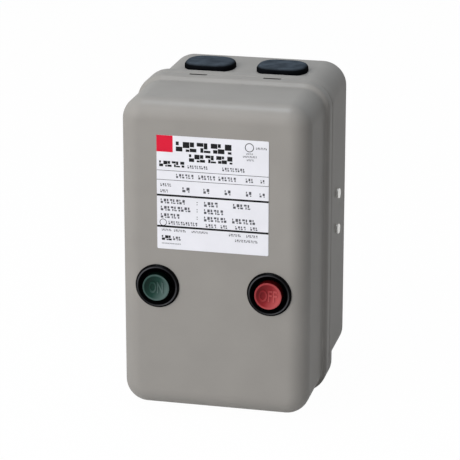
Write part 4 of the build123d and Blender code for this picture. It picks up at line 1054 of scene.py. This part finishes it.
class STARTER_OT_plate(bpy.types.Operator):
    """Prints the plain table on the cover's film: rules, blocks and a red corner"""

    bl_idname = "starter.plate"
    bl_label = "Data plate"

    # Blocks that stand where a plate has its words. Each row gives a top and a bottom,
    # then the left and the right of each block, in thousandths from the top left corner.
    HEAVY = ((48, 132, 172, 672), (152, 217, 290, 680), (222, 272, 22, 250), (880, 922, 40, 132))
    MEDIUM = (
        (445, 487, 225, 300, 415, 475, 605, 665, 795, 850), (556, 596, 30, 255),
        (560, 602, 420, 550, 680, 842), (620, 660, 30, 305), (624, 666, 420, 598),
        (685, 725, 30, 205), (690, 732, 420, 628, 672, 884), (885, 918, 140, 215),
    )
    LIGHT = (
        (248, 276, 275, 460), (248, 280, 585, 790),
        (330, 366, 170, 335, 370, 527, 550, 713, 793, 866), (334, 364, 925, 965),
        (420, 446, 30, 132), (474, 500, 30, 100), (452, 486, 915, 970), (750, 780, 100, 365),
        (754, 784, 435, 535, 570, 635, 700, 800, 835, 905), (822, 840, 40, 130),
        (822, 842, 150, 260), (824, 842, 310, 460), (826, 848, 645, 755, 800, 905),
        (872, 894, 700, 905), (946, 956, 40, 215), (110, 124, 800, 860),
        (134, 150, 770, 895), (162, 178, 805, 870), (56, 74, 885, 985),
    )
    # As shares of the plate: each colon's level, each rule's level and half thickness,
    # and each ring's place from the left, from the top and radius.
    COLONS = (0.578, 0.641, 0.707)
    RULES = ((0.306, 0.0020), (0.388, 0.0020), (0.524, 0.0085), (0.800, 0.0085))
    RINGS = ((0.829, 0.062, 0.040), (0.055, 0.765, 0.032))

    def execute(self, context):
        self.ink = context.scene.starter_plate.ink_height
        self.width, _, self.height = PLATE_HIGH - PLATE_LOW
        NODES["data_plate"].data.materials.clear()
        NODES["data_plate"].data.materials.append(material_of("label"))
        rules = [(0.0, 1.0, middle - half, middle + half) for middle, half in self.RULES]
        dots = [
            (0.358, 0.366, level + gap, level + gap + 0.008)
            for level in self.COLONS
            for gap in (-0.012, 0.008)
        ]
        self.print_blocks("plate_heavy_blocks", self.words(self.HEAVY, 0.94), "ink")
        self.print_blocks("plate_blocks", self.words(self.MEDIUM, 0.74), "pale_ink")
        self.print_blocks("plate_light_blocks", self.words(self.LIGHT, 0.66), "pale_ink")
        self.print_blocks("plate_rules", rules, "ink")
        self.print_blocks("plate_dots", dots, "pale_ink")
        self.print_blocks("plate_badge", [(0.0, 0.146, 0.0, 0.144)], "badge")
        self.print_rings()
        return {"FINISHED"}

    def words(self, rows, fill):
        """Splits each block into letter-sized cells, each of two parts that fill a share
        of it. Their widths and the gap's height step with the cell's number."""
        cell_aspect, gap, cells = 0.72, 0.14, []
        for row in rows:
            top, bottom, *spans = [place / 1000 for place in row]
            rise = bottom - top
            for left, right in zip(spans[::2], spans[1::2]):
                aspect = (right - left) * self.width / (rise * self.height)
                count = max(1, round(aspect / cell_aspect))
                pitch = (right - left) / count
                for index in range(count):
                    start = left + pitch * (index + (1 - fill) / 2)
                    wide, narrow = fill * pitch, fill * pitch * (0.45 + 0.1 * (index % 3))
                    split = top + rise * (0.38 + 0.12 * (index * 2 % 3))
                    upper, lower = (wide, narrow) if index % 2 else (narrow, wide)
                    end = start + wide
                    cells.append((start, start + upper, top, split))
                    cells.append((end - lower, end, split + gap * rise, bottom))
        return cells

    def print_blocks(self, name, cells, finish):
        """Prints cells of (left, right, top, bottom) shares on the film as thin blocks."""
        cells = np.array(cells)
        left, right = (PLATE_LOW.x + self.width * cells[:, :2]).T
        top, bottom = (PLATE_HIGH.z - self.height * cells[:, 2:]).T
        flat = stacked(left, bottom, right, bottom, right, top, left, top).reshape(-1, 4, 2)
        depths = (-PLATE_LOW.y, -PLATE_LOW.y + self.ink)
        points = np.concatenate([upright(flat, depth) for depth in depths], axis=1)
        sides = [[0, 1, 2, 3], [7, 6, 5, 4], [0, 4, 5, 1], [1, 5, 6, 2], [2, 6, 7, 3], [3, 7, 4, 0]]
        faces = np.array(sides) + 8 * np.arange(len(cells))[:, None, None]
        shape = (points.reshape(-1, 3), faces.reshape(-1, 4).tolist())
        make_piece(name, shape, "cover", "label", finish=finish)

    def print_rings(self):
        """Two plain rings, each a flat ring turned about an axis square to the film."""
        line, rings = 0.16, []
        for left, top, share in self.RINGS:
            outer = share * self.width
            inner, ink = outer - line * outer, self.ink
            profile = [(inner, 0.0), (inner, ink), (outer, ink), (outer, 0.0), (inner, 0.0)]
            x, z = PLATE_LOW.x + left * self.width, PLATE_HIGH.z - top * self.height
            rings.append(turned(profile, (x, PLATE_LOW.y, z), FRONT, 64))
        make_piece("plate_rings", joined(*rings), "cover", "label", finish="ink")


class STARTER_OT_screws(bpy.types.Operator):
    """Makes every screw with a rounded head and a cross recess"""

    bl_idname = "starter.screws"
    bl_label = "Screws"

    def execute(self, context):
        style = context.scene.starter_hardware
        radius, rise = style.side_head, style.side_head_rise
        heads = []
        for low, high, middle in solid_boxes("side_screws"):
            side = 1 if high[0] > 0 else -1
            middle[0] = high[0] - rise if side > 0 else low[0] + rise
            heads.append(screw_head(middle, (side, 0, 0), radius, rise, style))
        make_piece("side_screw_heads", joined(*heads), "base", "zinc_steel", ["side_screws"])
        radius, rise, reach = style.head, style.head_rise, style.shank_reach / 2
        for node in ("contactor_screws", "relay_screws", "switch_screws"):
            heads, shanks = [], []
            for low, _, (x, _, z) in solid_boxes(node):
                seat = low[1] + rise
                heads.append(screw_head((x, seat, z), FRONT, radius, rise, style))
                shanks.append(rod((x, seat + reach, z), FRONT, style.shank, reach, 24))
            make_piece(f"{node}_heads", joined(*heads, *shanks), "base", "zinc_steel", [node])
        return {"FINISHED"}


class STARTER_OT_springs(bpy.types.Operator):
    """Makes the coil springs"""

    bl_idname = "starter.springs"
    bl_label = "Springs"

    # Each spring's node, body, joint, wire in millimetres and turns.
    SPRINGS = (
        ("on_button_spring", "cover", "on_press", 0.9, 6),
        ("off_button_spring", "cover", "off_press", 0.9, 6),
        ("on_switch_spring", "base", "on_plunge", 0.5, 4),
        ("off_switch_spring", "base", "off_plunge", 0.5, 4),
        ("return_springs", "base", "armature_pull", 0.7, 7),
        ("contact_springs", "armature", None, 0.5, 7),
    )

    def execute(self, context):
        for node, body, joint, wire, turns in self.SPRINGS:
            springs = []
            for low, high, (x, _, z) in solid_boxes(node):
                radius, reach = (high[0] - low[0]) / 2 - wire * MM / 2, high[1] - low[1]
                springs.append(coil((x, high[1], z), FRONT, radius, wire * MM, reach, turns))
            shape = joined(*springs)
            piece = make_piece(f"{node}_coils", shape, body, "spring_steel", [node], 60)
            if joint:
                self.press(piece, joint, *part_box(node))
        return {"FINISHED"}

    def press(self, piece, joint, low, high):
        """Gives a spring a mesh of its own."""
        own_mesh(piece)


class STARTER_OT_finishes(bpy.types.Operator):
    """Gives every piece that keeps its solid the finish of its material slot"""

    bl_idname = "starter.finishes"
    bl_label = "Finishes"

    def execute(self, context):
        for part in frame["record"]["subparts"]:
            mesh = NODES[part["node"]].data
            mesh.materials.clear()
            slot = "phosphated_steel" if part["node"] == "cover_clips" else part["material_slot"]
            mesh.materials.append(material_of(slot))
        return {"FINISHED"}


def seen_share(tree):
    """One for rays of the camera and for those in gloss or glass, otherwise nought."""
    path = add_node(tree, "ShaderNodeLightPath")
    total = path.outputs["Is Camera Ray"]
    for kind in ("Is Glossy Ray", "Is Transmission Ray"):
        inputs = (total, path.outputs[kind])
        larger = add_node(tree, "ShaderNodeMath", enumerate(inputs), operation="MAXIMUM")
        total = larger.outputs["Value"]
    return total


def mix_shaders(tree, share, below, above, end):
    """Sends a mix of two shaders, at a share of the second, to the end of a node tree."""
    inputs = enumerate((share, below.outputs[0], above.outputs[0]))
    mix = add_node(tree, "ShaderNodeMixShader", inputs)
    tree.links.new(mix.outputs["Shader"], tree.nodes[end].inputs["Surface"])


class STARTER_OT_stage(bpy.types.Operator):
    """Sets the camera, the lamps, the surroundings and the floor"""

    bl_idname = "starter.stage"
    bl_label = "Stage"

    # Each lamp's name, place, size and colour.
    LAMPS = (
        ("key_lamp", (-0.74, -1.25, 0.78), 1.5, (1.0, 1.0, 1.0)),
        ("top_lamp", (-0.20, -0.12, 1.60), 0.6, (0.80, 0.90, 1.0)),
    )

    def execute(self, context):
        style = context.scene.starter_stage
        self.camera(style)
        for lamp, power in zip(self.LAMPS, (style.key_power, style.top_power)):
            self.lamp(*lamp, power)
        self.surroundings(style)
        self.floor()
        context.scene.view_settings.view_transform = "Standard"
        return {"FINISHED"}

    def camera(self, style):
        """Aims a camera from an azimuth, an elevation and a distance."""
        aim = Vector((style.aim_x, -style.aim_depth, style.aim_z))
        turn, level, rise = style.azimuth, np.cos(style.elevation), np.sin(style.elevation)
        away = Vector((level * np.sin(turn), -level * np.cos(turn), rise))
        lens = bpy.data.cameras.new("camera")
        lens.lens = style.focal
        lens.sensor_width = 36.0
        lens.clip_start = 0.05
        camera = add_object("camera", lens)
        camera.location = aim + style.distance * away
        camera.rotation_euler = (pi / 2 - style.elevation, 0.0, turn)
        bpy.context.scene.camera = camera

    def lamp(self, name, place, size, shade, power):
        """A large soft lamp towards the starter, unseen by the camera. The key lamp, in
        front, is kept out of reflections too."""
        light = bpy.data.lights.new(name, "AREA")
        light.shape = "SQUARE"
        light.size = size
        light.energy = power
        light.color = shade
        lamp = add_object(name, light)
        lamp.location = place
        aim = Vector((0.0, -0.07, 0.0)) - lamp.location
        lamp.rotation_euler = aim.to_track_quat("-Z", "Y").to_euler()
        lamp.visible_camera = False
        lamp.visible_glossy = name != "key_lamp"

    def surroundings(self, style):
        """Plain surroundings: white to the camera and in reflections, softer as light."""
        world = bpy.data.worlds.new("surroundings")
        world.use_nodes = True
        bpy.context.scene.world = world
        tree = world.node_tree
        soft, white = tree.nodes["Background"], (1.0, 1.0, 1.0)
        feed(tree, soft.inputs["Color"], white)
        feed(tree, soft.inputs["Strength"], style.sky)
        seen = add_node(tree, "ShaderNodeBackground", {"Color": white, "Strength": 1.0})
        mix_shaders(tree, seen_share(tree), soft, seen, "World Output")

    def floor(self):
        """A plain white floor that the starter's lower plugs touch; it keeps the shadow."""
        level = cad_bounds[0][2]
        rows = [[(x, y, level) for x in (-4.0, 4.0)] for y in (-4.0, 8.0)]
        mesh = mesh_of("floor", surface(np.array(rows)))
        floor = add_object("floor", mesh)
        material = bpy.data.materials.new("white_floor")
        material.use_nodes = True
        tree = material.node_tree
        shader = tree.nodes["Principled BSDF"]
        feed(tree, shader.inputs["Base Color"], (0.80, 0.80, 0.80))
        feed(tree, shader.inputs["Roughness"], 0.9)
        glow = add_node(tree, "ShaderNodeEmission", {"Strength": 1.0})
        inputs = {0: seen_share(tree), 1: 0.985}
        share = add_node(tree, "ShaderNodeMath", inputs, operation="MULTIPLY")
        mix_shaders(tree, share.outputs["Value"], shader, glow, "Material Output")
        mesh.materials.append(material)


class STARTER_PT_panel(bpy.types.Panel):
    """Lists the operators and their settings"""

    bl_idname = "STARTER_PT_panel"
    bl_label = "Motor starter"
    bl_space_type = "VIEW_3D"
    bl_region_type = "UI"
    bl_category = "Motor starter"

    def draw(self, context):
        for operator in OPERATORS:
            self.layout.operator(operator.bl_idname)
        for name in SETTINGS:
            group = getattr(context.scene, name)
            box = self.layout.box()
            for setting in group.bl_rna.properties.keys():
                if setting not in ("rna_type", "name"):
                    box.prop(group, setting)


SETTINGS = {
    "starter_shell": StarterShell,
    "starter_buttons": StarterButtons,
    "starter_plate": StarterPlate,
    "starter_hardware": StarterHardware,
    "starter_stage": StarterStage,
}
OPERATORS = (
    STARTER_OT_finishes,
    STARTER_OT_cover,
    STARTER_OT_base,
    STARTER_OT_buttons,
    STARTER_OT_plugs,
    STARTER_OT_plate,
    STARTER_OT_screws,
    STARTER_OT_springs,
    STARTER_OT_stage,
)


def register():
    """Registers the settings, the operators and the panel."""
    for name, group in SETTINGS.items():
        bpy.utils.register_class(group)
        setattr(bpy.types.Scene, name, bpy.props.PointerProperty(type=group))
    for operator in OPERATORS:
        bpy.utils.register_class(operator)
    bpy.utils.register_class(STARTER_PT_panel)


def unregister():
    """Takes away what register added."""
    bpy.utils.unregister_class(STARTER_PT_panel)
    for operator in reversed(OPERATORS):
        bpy.utils.unregister_class(operator)
    for name, group in reversed(SETTINGS.items()):
        delattr(bpy.types.Scene, name)
        bpy.utils.unregister_class(group)


def main():
    """Makes every piece and the stage."""
    register()
    for operator in OPERATORS:
        group, action = operator.bl_idname.split(".")
        getattr(getattr(bpy.ops, group), action)()


if __name__ == "__main__":
    main()
